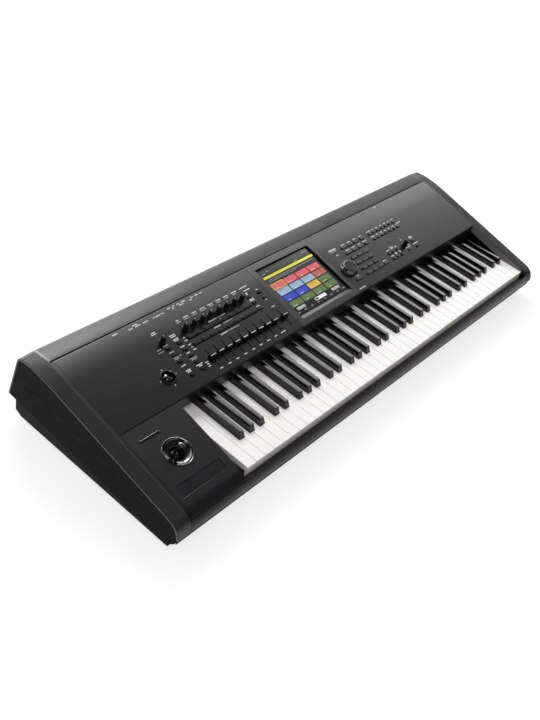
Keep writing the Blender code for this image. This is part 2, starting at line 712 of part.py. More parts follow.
def select_buttons():
    """Mode, keypad, exit and bank buttons right of the screen."""
    modes = (UPPER_ROW, UPPER_ROW + ROW_STEP)
    places = [(LAST_MODE_X, row, LAST_MODE_BUTTON) for row in modes]
    places += [(KEYPAD_X + i * SLIDER_PITCH, row, KEYPAD_BUTTON) for row in modes for i in range(3)]
    places += [(KEYPAD_X + i * SLIDER_PITCH, KEYPAD_ROW + row * ROW_STEP, KEYPAD_BUTTON)
               for row in range(4) for i in range(4 if row == 0 else 3)]
    places.append((DIAL_X, KEYPAD_ROW, KEYPAD_BUTTON))
    places += [(BANK_X + i * BANK_PITCH, UPPER_ROW + row * ROW_STEP, BANK_BUTTON)
               for row in (0, 1) for i in range(BANK_BUTTONS)]
    return places


def transport_buttons():
    """Sequencer transport and tempo buttons."""
    columns = {0: (0, 1, 2, 4, 6), 1: (0, 1, 2, 6)}
    return [(TRANSPORT_X + i * BANK_PITCH, TRANSPORT_ROW + row * ROW_STEP, BANK_BUTTON)
            for row, places in columns.items() for i in places]


def button_hole(x, along, size):
    room = 2 * BUTTON_CLEARANCE
    return slope_box(x, along, (size[0] + room, size[1] + room), -PANEL_SKIRT, PANEL_SHEET)


def row_holes(buttons):
    """One hole for each run of buttons that stand side by side, or for a lone button."""
    runs = []
    for x, along, size in sorted(buttons, key=lambda b: (b[1], b[0])):
        if runs and runs[-1][1] == along and x - size[0] / 2 - runs[-1][3] < 2 * BUTTON_CLEARANCE:
            runs[-1][3] = x + size[0] / 2
        else:
            runs.append([x - size[0] / 2, along, size[1], x + size[0] / 2])
    return [button_hole((left + right) / 2, along, (right - left, deep))
            for left, along, deep, right in runs]


def right_block_outline():
    """Side view of the slim arm that runs from the right panel to the nose, past the last key."""
    back = PANEL_EDGE_Y + RIGHT_BLOCK_OVERLAP
    top = clipped(clipped(upper_outline(), 0, back, False), 1, BLOCK_NOSE_Z, True)
    heel = FRONT_Y + RAIL_REAR_SETBACK + TOUCH_GAP
    return top + [(heel, BLOCK_NOSE_Z), (heel, slope_z(heel) - RIGHT_BLOCK_DROP),
                  (back, slope_z(back) - RIGHT_BLOCK_DROP)]


def make_control_panels():
    """Left and right panel shells with holes for all that passes through them."""
    paint = finish("textured panel paint", "satin_black", 0.55)
    outer, hollow = shell_between(-PANEL_END_X, DISPLAY_LEFT - SEAM / 2, PANEL_SHEET, (True, False))
    left = place("left_control_panel", outer, paint)
    cut(left, "left_panel_hollow", [hollow])
    boss = rod(VECTOR_RING_RADIUS, -VECTOR_RING_DEPTH, VECTOR_RING_RISE, 24, slope_frame(VECTOR_X, VECTOR_ROW))
    cut(left, "vector_ring", [boss], "UNION")
    outer, hollow = shell_between(DISPLAY_RIGHT + SEAM / 2, PANEL_END_X, PANEL_SHEET, (False, True))
    right = place("right_control_panel", outer, paint)
    cut(right, "right_panel_hollow", [hollow])
    arm = side_prism(right_block_outline(), PANEL_END_X - RIGHT_BLOCK_THICKNESS, PANEL_END_X)
    cut(right, "right_key_arm", [arm], "UNION")
    reach = -PANEL_SKIRT
    slot_middle = SLOT_FRONT + SLOT_LENGTH / 2
    shaft_room = KNOB_SHAFT_RADIUS + BUTTON_CLEARANCE
    shafts = [(x, along) for _, x, along in knob_places()] + [(DIAL_X, DIAL_ROW)]
    for panel, side, buttons in ((left, -1, left_buttons()), (right, 1, select_buttons() + transport_buttons())):
        holes = [slope_box(x, slot_middle, (SLOT_WIDTH, SLOT_LENGTH), reach, PANEL_SHEET)
                 for _, x in slider_places() if side * x > 0]
        holes += [rod(shaft_room, reach, PANEL_SHEET, 10, slope_frame(x, along))
                  for x, along in shafts if side * x > 0]
        if side < 0:
            holes.append(rod(VECTOR_RING_RADIUS - VECTOR_RING_WALL, reach, PANEL_SHEET, 24,
                             slope_frame(VECTOR_X, VECTOR_ROW)))
        cut(panel, f"{panel.name}_holes", holes + row_holes(buttons))


def make_display():
    """Raised-edge module that frames the screen, with a sloping front rim."""
    outer, hollow = shell_between(DISPLAY_LEFT + SEAM / 2, DISPLAY_RIGHT - SEAM / 2, DISPLAY_SHEET, (False, False))
    bezel = place("display_bezel", outer, finish("satin bezel plastic", "satin_black", 0.45))
    cut(bezel, "bezel_hollow", [hollow])
    front, back = WINDOW_FRONT, WINDOW_FRONT + WINDOW_DEPTH
    section = [(front, PANEL_SHEET), (front, 0), (front + WINDOW_FRONT_CHAMFER, -DISPLAY_SHEET),
               (front + WINDOW_FRONT_CHAMFER, -PANEL_SKIRT), (back, -PANEL_SKIRT), (back, PANEL_SHEET)]
    axes = slope_frame() @ Matrix(((0, 0, 1, WINDOW_LEFT), (1, 0, 0, 0), (0, 1, 0, 0), (0, 0, 0, 1)))
    cut(bezel, "bezel_window", [prism(section, WINDOW_WIDTH, axes)])
    seat = slope_frame(WINDOW_LEFT, front, -DISPLAY_SHEET - TOUCH_GAP) @ Matrix.Rotation(-GLASS_TILT, 4, "X")
    glass = box((-GLASS_MARGIN, -GLASS_MARGIN, -GLASS_THICKNESS),
                (WINDOW_WIDTH + GLASS_MARGIN, WINDOW_DEPTH + GLASS_MARGIN, 0), seat)
    place("touch_screen", glass, finish("screen glass", "glass", 0.12))


def block_outline(inset=0.0, hem=0.0):
    """Side view of a key block: panel slope, nose, and an upright back to the front rail."""
    back = PANEL_EDGE_Y - SEAM - inset
    top = clipped(clipped(upper_outline(0.0, inset), 0, back, False), 1, BLOCK_NOSE_Z + inset, True)
    top = [point for point in top if point[0] <= back]
    heel = FRONT_Y + RAIL_REAR_SETBACK + TOUCH_GAP + inset
    low = BOTTOM_Z + BLOCK_HEM_RISE - hem
    return top + [(heel, BLOCK_NOSE_Z + inset), (heel, low), (back, low)]


def make_key_block():
    """The hollow control block left of the keys, with a low ledge that reaches to them."""
    left_low = -PANEL_END_X
    left_high = KEY_LEFT_X - LEFT_BLOCK_TO_KEYS
    flank_x = left_high + LEFT_BLOCK_FLANK
    block = place("left_key_block", side_prism(block_outline(), left_low, flank_x),
                  finish("satin block plastic", "satin_black", 0.45))
    pocket = side_prism(block_outline(BLOCK_WALL, KEY_TOP_Z), left_low + BLOCK_WALL, left_high - BLOCK_WALL)
    cut(block, "block_pocket", [pocket])
    ledge = BOTTOM_Z + BLOCK_HEM_RISE + LEFT_BLOCK_FLANK_RISE
    over = box((left_high, FRONT_Y, ledge), (flank_x + BLOCK_WALL, REAR_Y, PANEL_EDGE_Z + BLOCK_WALL))
    cut(block, "block_ledge", [over])
    reach = -BLOCK_OPENING_REACH
    switch_x = SWITCH_SLOT_LEFT + SWITCH_SLOT[0] / 2
    openings = [rod(BOWL_RADIUS - BOWL_WALL + BUTTON_CLEARANCE, reach, BLOCK_WALL, 32,
                    slope_frame(JOYSTICK_X, JOYSTICK_ROW)),
                slope_box(switch_x, SWITCH_ROW, SWITCH_SLOT, reach / 2, BLOCK_WALL),
                slope_box(RIBBON_LEFT + RIBBON[0] / 2, RIBBON_ROW, RIBBON, -RIBBON_RECESS, BLOCK_WALL)]
    cut(block, "block_openings", openings)


def make_ribbon():
    floor = TOUCH_GAP - RIBBON_RECESS
    size = (RIBBON[0] - 2 * TOUCH_GAP, RIBBON[1] - 2 * TOUCH_GAP)
    strip = slope_box(RIBBON_LEFT + RIBBON[0] / 2, RIBBON_ROW, size, floor, floor + RIBBON_THICKNESS)
    place("ribbon_strip", strip, finish("ribbon film", "satin_black", 0.35))


def make_front_rail():
    """Black rail in front of the key lips, on the chassis lip."""
    inner = FRONT_Y + RAIL_REAR_SETBACK
    top = BLOCK_NOSE_Z - TOUCH_GAP
    nose = clipped(clipped(upper_outline(), 1, top, False), 1, RAIL_BOTTOM_Z, True)
    nose = [point for point in nose if point[0] < PANEL_EDGE_Y]
    outline = nose + [(inner, RAIL_BOTTOM_Z), (inner, top - RAIL_SHOULDER_DROP)]
    half = GROOVE_X - TOUCH_GAP
    smooth(place("front_rail", side_prism(outline, -half, half), finish("gloss rail plastic", "gloss_black", 0.3)))


def make_key_bed():
    """Steel frame: a front stop rail, a base plate and the rail that the keys pivot on."""
    low = FLOOR_TOP_Z + TOUCH_GAP
    front = KEY_FRONT_Y + BED_FRONT_RAIL_SETBACK
    stop = KEY_UNDERSIDE_Z - BED_FRONT_RAIL_DROP
    rail = KEY_UNDERSIDE_Z - TOUCH_GAP
    outline = [(front, low), (KEY_TAIL_Y, low), (KEY_TAIL_Y, rail), (KEY_PIVOT_Y, rail),
               (KEY_PIVOT_Y, low + BED_PLATE), (front + BED_FRONT_RAIL_DEPTH, low + BED_PLATE),
               (front + BED_FRONT_RAIL_DEPTH, stop), (front, stop)]
    place("keybed_frame", side_prism(outline, KEY_LEFT_X, KEY_RIGHT_X), finish("keybed steel", "steel", 0.4, 0.8))


def make_white_keys():
    """White keys in three sections, joined behind their pivot by a bar and cut for the black keys."""
    ivory = finish("moulded white key", "key_white", 0.2)
    lip_z = KEY_TOP_Z - KEY_LIP_HEIGHT
    inner = KEY_FRONT_Y + KEY_LIP_DEPTH
    section = [(KEY_FRONT_Y, KEY_TOP_Z), (KEY_FRONT_Y, lip_z), (inner, lip_z),
               (inner, KEY_UNDERSIDE_Z), (KEY_TAIL_Y, KEY_UNDERSIDE_Z), (KEY_TAIL_Y, KEY_TOP_Z)]
    room = BLACK_KEY_WIDTH / 2 + BLACK_KEY_CLEARANCE
    notch_front = KEY_FRONT_Y + BLACK_KEY_SETBACK - BLACK_KEY_CLEARANCE
    for name, first, after in key_sections():
        solids = [side_prism(section, white_key_x(i) + KEY_GAP / 2, white_key_x(i + 1) - KEY_GAP / 2)
                  for i in range(first, after)]
        keys = place(f"white_keys_{name}", joined(solids), ivory, (0, KEY_PIVOT_Y, KEY_UNDERSIDE_Z))
        low, high = white_key_x(first) - room, white_key_x(after) + room
        notches = [box((x - room, notch_front, lip_z), (x + room, KEY_TAIL_Y + KEY_TAIL, PANEL_EDGE_Z))
                   for x in black_key_places() if low < x < high]
        cut(keys, f"white_keys_{name}_notches", notches)
        bar = box((white_key_x(first) + KEY_GAP / 2, KEY_TAIL_Y - KEY_BAR_DEPTH, KEY_UNDERSIDE_Z),
                  (white_key_x(after) - KEY_GAP / 2, KEY_TAIL_Y, KEY_TOP_Z))
        cut(keys, f"white_keys_{name}_bar", [bar], "UNION")


def black_key_solid(x):
    """A tapered bar with softened top edges and a sloping front."""
    front = KEY_FRONT_Y + BLACK_KEY_SETBACK
    top = KEY_TOP_Z + BLACK_KEY_RISE
    half, half_top = BLACK_KEY_WIDTH / 2, BLACK_KEY_TOP_WIDTH / 2
    shape = bmesh.new()
    bmesh.ops.create_cube(shape, size=1.0)
    for vert in shape.verts:
        upper = vert.co.z > 0
        reach = half_top if upper else half
        y = BLACK_TAIL_Y if vert.co.y > 0 else front + (BLACK_KEY_FRONT_SLOPE if upper else 0)
        vert.co = (x + (reach if vert.co.x > 0 else -reach), y, top if upper else KEY_UNDERSIDE_Z)
    rims = [edge for edge in shape.edges if all(v.co.z == top for v in edge.verts)
            and not all(v.co.y == BLACK_TAIL_Y for v in edge.verts)]
    bmesh.ops.bevel(shape, geom=rims, offset=BLACK_KEY_EDGE, segments=1, affect="EDGES")
    mesh = bpy.data.meshes.new("black_key")
    shape.to_mesh(mesh)
    shape.free()
    return mesh


def make_black_keys():
    """Black keys in three sections, each joined by a bar that lies over the white keys' tails."""
    ebony = finish("moulded black key", "gloss_black", 0.2)
    low = KEY_TOP_Z + BLACK_BAR_GAP
    for name, first, after in key_sections():
        places = [x for x in black_key_places() if white_key_x(first + 1) < x < white_key_x(after) + KEY_PITCH / 2]
        keys = place(f"black_keys_{name}", joined([black_key_solid(x) for x in places]), ebony,
                     (0, KEY_PIVOT_Y, KEY_UNDERSIDE_Z))
        half = BLACK_KEY_TOP_WIDTH / 2 - BLACK_KEY_EDGE
        bar = box((places[0] - half, BLACK_TAIL_Y - BLACK_BAR_DEPTH, low),
                  (places[-1] + half, BLACK_TAIL_Y - BLACK_BAR_GAP, low + BLACK_BAR_HEIGHT))
        cut(keys, f"black_keys_{name}_bar", [bar], "UNION")


def make_knobs():
    """Waisted knobs on metal shafts that pass through the panel."""
    plastic = finish("knob plastic", "gloss_black", 0.45)
    profile = [(0, KNOB_HEIGHT), (KNOB_WAIST_RADIUS - KNOB_SKIRT / 4, KNOB_HEIGHT),
               (KNOB_WAIST_RADIUS, KNOB_HEIGHT - KNOB_SKIRT / 4), (KNOB_WAIST_RADIUS, KNOB_SKIRT * 1.5),
               (KNOB_RADIUS, KNOB_SKIRT), (KNOB_RADIUS, TOUCH_GAP), (KNOB_SHAFT_RADIUS, TOUCH_GAP),
               (KNOB_SHAFT_RADIUS, -KNOB_SHAFT_REACH), (0, -KNOB_SHAFT_REACH)]
    for name, x, along in knob_places():
        frame = slope_frame(x, along)
        smooth(place(name, turned(profile, 12, frame), plastic, frame.translation, PANEL_SLOPE))


def make_dial():
    profile = [(0, DIAL_HEIGHT - 1 * MM), (DIAL_RADIUS * 0.74, DIAL_HEIGHT - 1 * MM),
               (DIAL_RADIUS * 0.8, DIAL_HEIGHT), (DIAL_RADIUS * 0.93, DIAL_HEIGHT),
               (DIAL_RADIUS, DIAL_HEIGHT * 0.8), (DIAL_RADIUS, TOUCH_GAP), (KNOB_SHAFT_RADIUS, TOUCH_GAP),
               (KNOB_SHAFT_RADIUS, -KNOB_SHAFT_REACH), (0, -KNOB_SHAFT_REACH)]
    frame = slope_frame(DIAL_X, DIAL_ROW)
    smooth(place("value_dial", turned(profile, 28, frame), finish("dial plastic", "satin_black", 0.4),
                 frame.translation, PANEL_SLOPE))


def make_sliders():
    """Fader caps, each on a flat stem in its slot."""
    plastic = finish("slider plastic", "gloss_black", 0.45)
    half_x, half_y = SLIDER_CAP_WIDTH / 2, SLIDER_CAP_LENGTH / 2
    for name, x in slider_places():
        frame = slope_frame(x, SLIDER_REST)
        cap = box((-half_x, -half_y, TOUCH_GAP), (half_x, half_y, SLIDER_CAP_HEIGHT))
        for vert in cap.vertices:
            if vert.co.z > SLIDER_CAP_HEIGHT / 2:
                vert.co.x -= SLIDER_CAP_TAPER if vert.co.x > 0 else -SLIDER_CAP_TAPER
                vert.co.y -= SLIDER_CAP_TAPER if vert.co.y > 0 else -SLIDER_CAP_TAPER
        cap.transform(frame)
        stem = box((-SLIDER_STEM_WIDTH / 2, -SLIDER_STEM_LENGTH / 2, -SLIDER_STEM_REACH),
                   (SLIDER_STEM_WIDTH / 2, SLIDER_STEM_LENGTH / 2, SLIDER_CAP_HEIGHT / 2), frame)
        thing = place(name, cap, plastic, frame.translation, PANEL_SLOPE)
        cut(thing, f"{name}_stem", [stem], "UNION")


def tie(x_a, along_a, x_b, along_b):
    """A strip under the panel from one button to another on a row, or a thinner one on a column."""
    size = (abs(x_b - x_a) + RUNNER_WIDTH, abs(along_b - along_a) + RUNNER_WIDTH)
    sink = RUNNER_SINK if size[0] > size[1] else 2 * RUNNER_SINK
    return slope_box((x_a + x_b) / 2, (along_a + along_b) / 2, size, -BUTTON_DEPTH - RUNNER_SINK,
                     RUNNER_THICKNESS - BUTTON_DEPTH - sink)


def left_ties():
    top, low = UPPER_ROW + ROW_STEP, UPPER_ROW - 4 * ROW_STEP
    rows = [tie(COLUMN_ONE_X, UPPER_ROW, VALUE_SLIDER_X, UPPER_ROW),
            tie(COLUMN_ONE_X, LOWER_ROW, END_COLUMN_X, LOWER_ROW)]
    columns = [tie(COLUMN_ONE_X, low, COLUMN_ONE_X, UPPER_ROW), tie(COLUMN_TWO_X, low, COLUMN_TWO_X, UPPER_ROW),
               tie(END_COLUMN_X, LOWER_ROW, END_COLUMN_X, top), tie(VALUE_SLIDER_X, UPPER_ROW, VALUE_SLIDER_X, top)]
    return rows, columns


def select_ties():
    bank_end = BANK_X + (BANK_BUTTONS - 1) * BANK_PITCH
    rows = [tie(KEYPAD_X, UPPER_ROW + row * ROW_STEP, bank_end, UPPER_ROW + row * ROW_STEP) for row in (0, 1)]
    rows += [tie(KEYPAD_X, KEYPAD_ROW + row * ROW_STEP, KEYPAD_X + 2 * SLIDER_PITCH, KEYPAD_ROW + row * ROW_STEP)
             for row in (1, 2, 3)]
    rows.append(tie(DIAL_X, KEYPAD_ROW, KEYPAD_X + 3 * SLIDER_PITCH, KEYPAD_ROW))
    columns = [tie(KEYPAD_X, KEYPAD_ROW, KEYPAD_X, UPPER_ROW),
               tie(bank_end, UPPER_ROW, bank_end, UPPER_ROW + ROW_STEP)]
    return rows, columns


def transport_ties():
    end = TRANSPORT_X + 6 * BANK_PITCH
    high = TRANSPORT_ROW + ROW_STEP
    rows = [tie(TRANSPORT_X, TRANSPORT_ROW, end, TRANSPORT_ROW),
            tie(TRANSPORT_X, high, TRANSPORT_X + 2 * BANK_PITCH, high)]
    columns = [tie(TRANSPORT_X, TRANSPORT_ROW, TRANSPORT_X, high), tie(end, TRANSPORT_ROW, end, high)]
    return rows, columns


def make_buttons():
    """Button caps standing a little over the panel, each set on one sprung carrier."""
    plastic = finish("button plastic", "gloss_black", 0.45)
    origin = slope_frame().translation
    sets = {"left_panel_buttons": (left_buttons(), left_ties()),
            "select_buttons": (select_buttons(), select_ties()),
            "transport_buttons": (transport_buttons(), transport_ties())}
    for name, (buttons, (rows, columns)) in sets.items():
        solids = [slope_box(x, along, size, -BUTTON_DEPTH, BUTTON_HEIGHT) for x, along, size in buttons]
        thing = place(name, joined(solids), plastic, origin, PANEL_SLOPE)
        cut(thing, f"{name}_rows", rows, "UNION")
        cut(thing, f"{name}_columns", columns, "UNION")
    half = SWITCH_SLOT[0] / 2
    size = (half - 2 * BUTTON_CLEARANCE, SWITCH_SLOT[1] - 2 * BUTTON_CLEARANCE)
    for name, share in (("assign_switch_1", 0.5), ("assign_switch_2", 1.5)):
        solid = slope_box(SWITCH_SLOT_LEFT + half * share, SWITCH_ROW, size, -BUTTON_DEPTH, BUTTON_HEIGHT)
        place(name, solid, plastic, origin, PANEL_SLOPE)


def joystick_pieces(scale, x, along, reach, tip_height):
    """Gimbal ring, its pins and the stick of a two-way joystick, as meshes."""
    pivot = slope_frame(x, along, -STICK_PIVOT_DEPTH * scale)
    ball = STICK_BALL_RADIUS * scale
    inner = ball + PIVOT_GAP
    outer = inner + GIMBAL_RING * scale
    half = GIMBAL_HALF_HEIGHT * scale
    ring = turned([(inner, half), (outer, half), (outer, -half), (inner, -half), (inner, half)], 24, pivot)
    pin = GIMBAL_PIN_RADIUS * scale
    lying = pivot @ Matrix.Rotation(pi / 2, 4, "Y")
    root = (outer + inner) / 2
    pins = [rod(pin, root, reach, 8, lying), rod(pin, -reach, -root, 8, lying)]
    tip = tip_height + STICK_PIVOT_DEPTH * scale
    neck, top = STICK_RADIUS * scale, STICK_TIP_RADIUS * scale
    arc = [(ball * sin(radians(a)), ball * cos(radians(a))) for a in range(20, 141, 20)]
    stick = turned([(0, tip), (top * 0.7, tip), (top, tip - top * 0.4), (top, tip - top * 1.6),
                    (neck, tip - top * 3)] + arc + [(0, arc[-1][1])], 20, pivot)
    return ring, pins, stick, pivot.translation


def make_joysticks():
    """The large joystick in its bowl on the left block, and the vector joystick on the panel."""
    gloss = finish("joystick plastic", "gloss_black", 0.12)
    nylon = finish("gimbal nylon", "satin_black", 0.4)
    rim, wall = BOWL_RADIUS, BOWL_WALL
    neck = rim - wall
    lip = TOUCH_GAP + wall / 2
    floor = -BOWL_DISH
    mouth = BOWL_MOUTH_RADIUS
    bowl = turned([(mouth, floor), (mouth + wall, floor), (neck - wall / 2, 0), (rim - wall / 2, lip),
                   (rim, lip / 2), (rim, TOUCH_GAP), (neck, TOUCH_GAP), (neck, -BOWL_SKIRT),
                   (neck - wall, -BOWL_SKIRT), (neck - wall, floor - wall), (mouth, floor - wall),
                   (mouth, floor)], 32, slope_frame(JOYSTICK_X, JOYSTICK_ROW))
    smooth(place("joystick_bowl", bowl, gloss))
    big_reach = neck - wall - TOUCH_GAP
    small_reach = VECTOR_RING_RADIUS - VECTOR_RING_WALL - TOUCH_GAP
    sticks = (("joystick", 1.0, JOYSTICK_X, JOYSTICK_ROW, big_reach, STICK_TIP_HEIGHT),
              ("vector_stick", VECTOR_SCALE, VECTOR_X, VECTOR_ROW, small_reach, VECTOR_TIP_HEIGHT))
    for name, scale, x, along, reach, tip_height in sticks:
        ring, pins, stick, pivot = joystick_pieces(scale, x, along, reach, tip_height)
        gimbal = place(f"{name}_gimbal", ring, nylon, pivot, PANEL_SLOPE)
        cut(gimbal, f"{name}_pins", pins, "UNION")
        smooth(place(name, stick, gloss, pivot, PANEL_SLOPE))


def jack_frame(x):
    """A frame on the connector panel's outer face, with Z pointing out of it."""
    return Matrix.Translation((x, JACK_PANEL_Y, JACK_Z)) @ Matrix.Rotation(-pi / 2, 4, "X")


def rear_box(x, wide, tall, y_low, y_high, room=0.0):
    """A box centred on the socket line, between two depths."""
    return box((x - wide / 2 - room, y_low, JACK_Z - tall / 2 - room),
               (x + wide / 2 + room, y_high, JACK_Z + tall / 2 + room))


def make_rear():
    """Connector panel, the board that carries its sockets, and the power rocker."""
    top = slope_z(REAR_GAP_Y) - REAR_TRIM_SKIRT - TOUCH_GAP
    low = CHASSIS_REAR_TOP_Z + TOUCH_GAP
    inner_y = JACK_PANEL_Y - JACK_PANEL_SHEET
    half = CHEEK_INNER_X - TOUCH_GAP
    plate = place("jack_panel", box((-half, inner_y, low), (half, JACK_PANEL_Y, top)),
                  finish("rear panel steel", "satin_black", 0.5))
    room, sheet = BUTTON_CLEARANCE, JACK_PANEL_SHEET
    back = JACK_PANEL_Y - JACK_BODY
    holes, round_sockets = [], []
    for x in [FIRST_JACK_X + i * JACK_PITCH for i in range(JACKS)]:
        holes.append(rod(JACK_RADIUS + room, -2 * sheet, sheet, 10, jack_frame(x)))
        round_sockets.append(turned([(0, JACK_NUT - JACK_BORE_DEPTH), (JACK_BORE, JACK_NUT - JACK_BORE_DEPTH),
                                     (JACK_BORE, JACK_NUT), (JACK_RADIUS, JACK_NUT),
                                     (JACK_RADIUS, -JACK_BODY), (0, -JACK_BODY)], 10, jack_frame(x)))
    rim = DIN_RADIUS * 0.82
    for x in DIN_X:
        holes.append(rod(DIN_RADIUS + room, -2 * sheet, sheet, 14, jack_frame(x)))
        round_sockets.append(turned([(0, -DIN_RECESS), (rim, -DIN_RECESS), (rim, TOUCH_GAP),
                                     (DIN_RADIUS, TOUCH_GAP), (DIN_RADIUS, -JACK_BODY), (0, -JACK_BODY)],
                                    14, jack_frame(x)))
    square = [(x, *DATA_SOCKET, back) for x in DATA_X] + [(INLET_X, *INLET, JACK_PANEL_Y - INLET_BODY)]
    square_sockets = [rear_box(x, wide, tall, y_low, JACK_PANEL_Y + TOUCH_GAP) for x, wide, tall, y_low in square]
    holes += [rear_box(x, wide, tall, inner_y - sheet, JACK_PANEL_Y + sheet, room)
              for x, wide, tall, _ in square]
    holes.append(rear_box(POWER_SWITCH_X, POWER_SWITCH_WIDTH, 2 * POWER_SWITCH_RADIUS, inner_y - sheet,
                          JACK_PANEL_Y + sheet, room))
    cut(plate, "jack_panel_holes", holes)
    board = box((FIRST_JACK_X - JACK_PITCH / 2, back - BOARD / 2, JACK_Z - DIN_RADIUS),
                (INLET_X + INLET[0], back + BOARD / 2, JACK_Z + DIN_RADIUS))
    carrier = place("rear_socket_board", board, finish("socket plastic", "gloss_black", 0.4))
    cut(carrier, "sockets", round_sockets + square_sockets, "UNION")
    mouth = rear_box(INLET_X, INLET[0], INLET[1], JACK_PANEL_Y - INLET_RECESS, JACK_PANEL_Y + sheet, -INLET_WALL)
    cut(carrier, "inlet_mouth", [mouth])
    pivot_y = JACK_PANEL_Y - sheet / 2
    radius = POWER_SWITCH_RADIUS
    lean = POWER_SWITCH_THROW
    outline = [(pivot_y + radius * cos(radians(a)), JACK_Z + radius * sin(radians(a)))
               for a in range(100, 261, 20)]
    outline += [(pivot_y + radius * sin(lean), JACK_Z - radius * cos(lean)),
                (pivot_y + radius * sin(lean) / 2, JACK_Z)]
    low_x = POWER_SWITCH_X - POWER_SWITCH_WIDTH / 2
    place("power_switch", side_prism(outline, low_x, low_x + POWER_SWITCH_WIDTH),
          finish("rocker plastic", "gloss_black", 0.35), (POWER_SWITCH_X, pivot_y, JACK_Z))


def make_boards():
    """The board under the controls, and the main board with its power supply."""
    green = finish("circuit board", "board_green", 0.6)
    frame = slope_frame()
    low, back = -BOARD_DROP - BOARD, BOARD_FRONT + BOARD_DEPTH
    left, right = CONTROL_BOARD
    control = place("control_board", box((left, BOARD_FRONT, low), (right, back, -BOARD_DROP), frame), green)
    edge = BOARD
    posts = [box((x, along, low + BOARD / 2), (x + STANDOFF, along + STANDOFF, -PANEL_SHEET - TOUCH_GAP), frame)
             for x in (left + edge, right - edge - STANDOFF)
             for along in (BOARD_FRONT + edge, back - edge - STANDOFF)]
    cut(control, "control_board_posts", posts, "UNION")
    rear = CHASSIS_REAR_Y - TRAY_REAR_CLEARANCE
    floor = FLOOR_TOP_Z + TOUCH_GAP
    left, right = MAIN_BOARD
    front, level = KEY_TAIL_Y + MAIN_BOARD_CLEARANCE, floor + MAIN_BOARD_LIFT
    main = place("main_board", box((left, front, level), (right, rear, level + BOARD)), green)
    posts = [box((x, y, floor), (x + STANDOFF, y + STANDOFF, level + BOARD / 2))
             for x in (left + edge, right - edge - STANDOFF) for y in (front + edge, rear - edge - STANDOFF)]
    supply = box((POWER_SUPPLY[0], rear - (rear - front) * POWER_SUPPLY_SHARE, level + BOARD / 2),
                 (POWER_SUPPLY[1], rear - edge, level + POWER_SUPPLY_HEIGHT))
    cut(main, "main_board_posts", posts, "UNION")
    cut(main, "power_supply", [supply], "UNION")


def make_feet():
    rubber = finish("foot rubber", "rubber", 0.9)
    rows = (("front", FRONT_Y + FOOT_FRONT_SETBACK), ("rear", REAR_Y - FOOT_REAR_SETBACK))
    for row, y in rows:
        for side, x in (("left", -FOOT_X), ("right", FOOT_X)):
            foot = rod(FOOT_RADIUS, 0, FOOT_HEIGHT - TOUCH_GAP, 16, Matrix.Translation((x, y, 0)))
            place(f"{row}_{side}_foot", foot, rubber)


clear_scene()
PARTS = new_collection("music_workstation")
CUTTERS = new_collection("cutters")
make_chassis()
make_cheeks()
make_side_trims()
make_rear_trim()
make_control_panels()
make_display()
make_key_block()
make_ribbon()
make_front_rail()
make_key_bed()
make_white_keys()
make_black_keys()
make_knobs()
make_dial()
make_sliders()
make_buttons()
make_joysticks()
make_rear()
make_boards()
make_feet()
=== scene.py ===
"""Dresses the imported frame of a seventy-three key music workstation: the case and its trims,
the keys, the controls, the screen and the rear connectors, then a plain studio.

The frame is metres with +Z up, +X towards the treble end and -Y towards the player. Places on
the sloping panel are given as X and a distance up the slope from the panel's front edge.
"""

from functools import cache
from math import atan2, cos, pi, radians, sin, tan

import bmesh
import bpy
from bpy.props import FloatProperty, FloatVectorProperty, IntProperty, PointerProperty
from bpy.types import Operator, Panel, PropertyGroup
from mathutils import Matrix, Vector


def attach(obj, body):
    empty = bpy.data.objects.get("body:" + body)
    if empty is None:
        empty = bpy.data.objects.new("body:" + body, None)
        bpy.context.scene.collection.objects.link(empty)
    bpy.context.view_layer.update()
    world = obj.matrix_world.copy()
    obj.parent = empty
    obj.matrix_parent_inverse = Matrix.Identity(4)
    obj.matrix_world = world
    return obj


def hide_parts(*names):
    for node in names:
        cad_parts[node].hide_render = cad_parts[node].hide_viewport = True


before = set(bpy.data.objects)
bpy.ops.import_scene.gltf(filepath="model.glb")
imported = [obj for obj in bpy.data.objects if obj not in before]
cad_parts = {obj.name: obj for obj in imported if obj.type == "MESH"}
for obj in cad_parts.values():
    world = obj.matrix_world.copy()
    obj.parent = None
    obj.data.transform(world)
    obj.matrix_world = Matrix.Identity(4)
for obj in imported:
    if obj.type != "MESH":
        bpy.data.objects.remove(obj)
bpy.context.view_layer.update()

bl_info = {
    "name": "Music Workstation",
    "version": (1, 0, 0),
    "blender": (4, 5, 0),
    "location": "View3D > Sidebar > Workstation",
    "description": "Builds the visible pieces of a seventy-three key music workstation on its frame",
    "category": "Object",
}

MM = 0.001

# Lines of the case, the same as the solids'
FRONT_Y, REAR_Y, HALF_LENGTH = -204.5 * MM, 204.5 * MM, 603 * MM
BOTTOM_Z, KEY_TOP_Z = 8.3 * MM, 71 * MM
PANEL_EDGE_Y, PANEL_EDGE_Z = -30 * MM, 109.8 * MM
PANEL_SLOPE, ROLL_SLOPE, TOP_FALL = radians(12.7), radians(5.8), radians(6)
CROWN_Y, CROWN_RADIUS, ROLL_RADIUS = 151 * MM, 100 * MM, 440 * MM
ROLL_Y = (CROWN_Y - CROWN_RADIUS * tan((ROLL_SLOPE + TOP_FALL) / 2)
          - ROLL_RADIUS * tan((PANEL_SLOPE - ROLL_SLOPE) / 2) - 2.2 * MM)
REAR_LEAN, REAR_CORNER_RADIUS = radians(13.2), 14 * MM
NOSE_RADIUS, LOWER_NOSE_RADIUS, LOWER_NOSE_RISE = 31 * MM, 14 * MM, 22 * MM
TOE_REACH, TOE_RISE = 20.5 * MM, 3 * MM
CHEEK_TOE, CHEEK_HEEL_Z = (FRONT_Y + TOE_REACH, BOTTOM_Z + TOE_RISE), BOTTOM_Z + 35 * MM
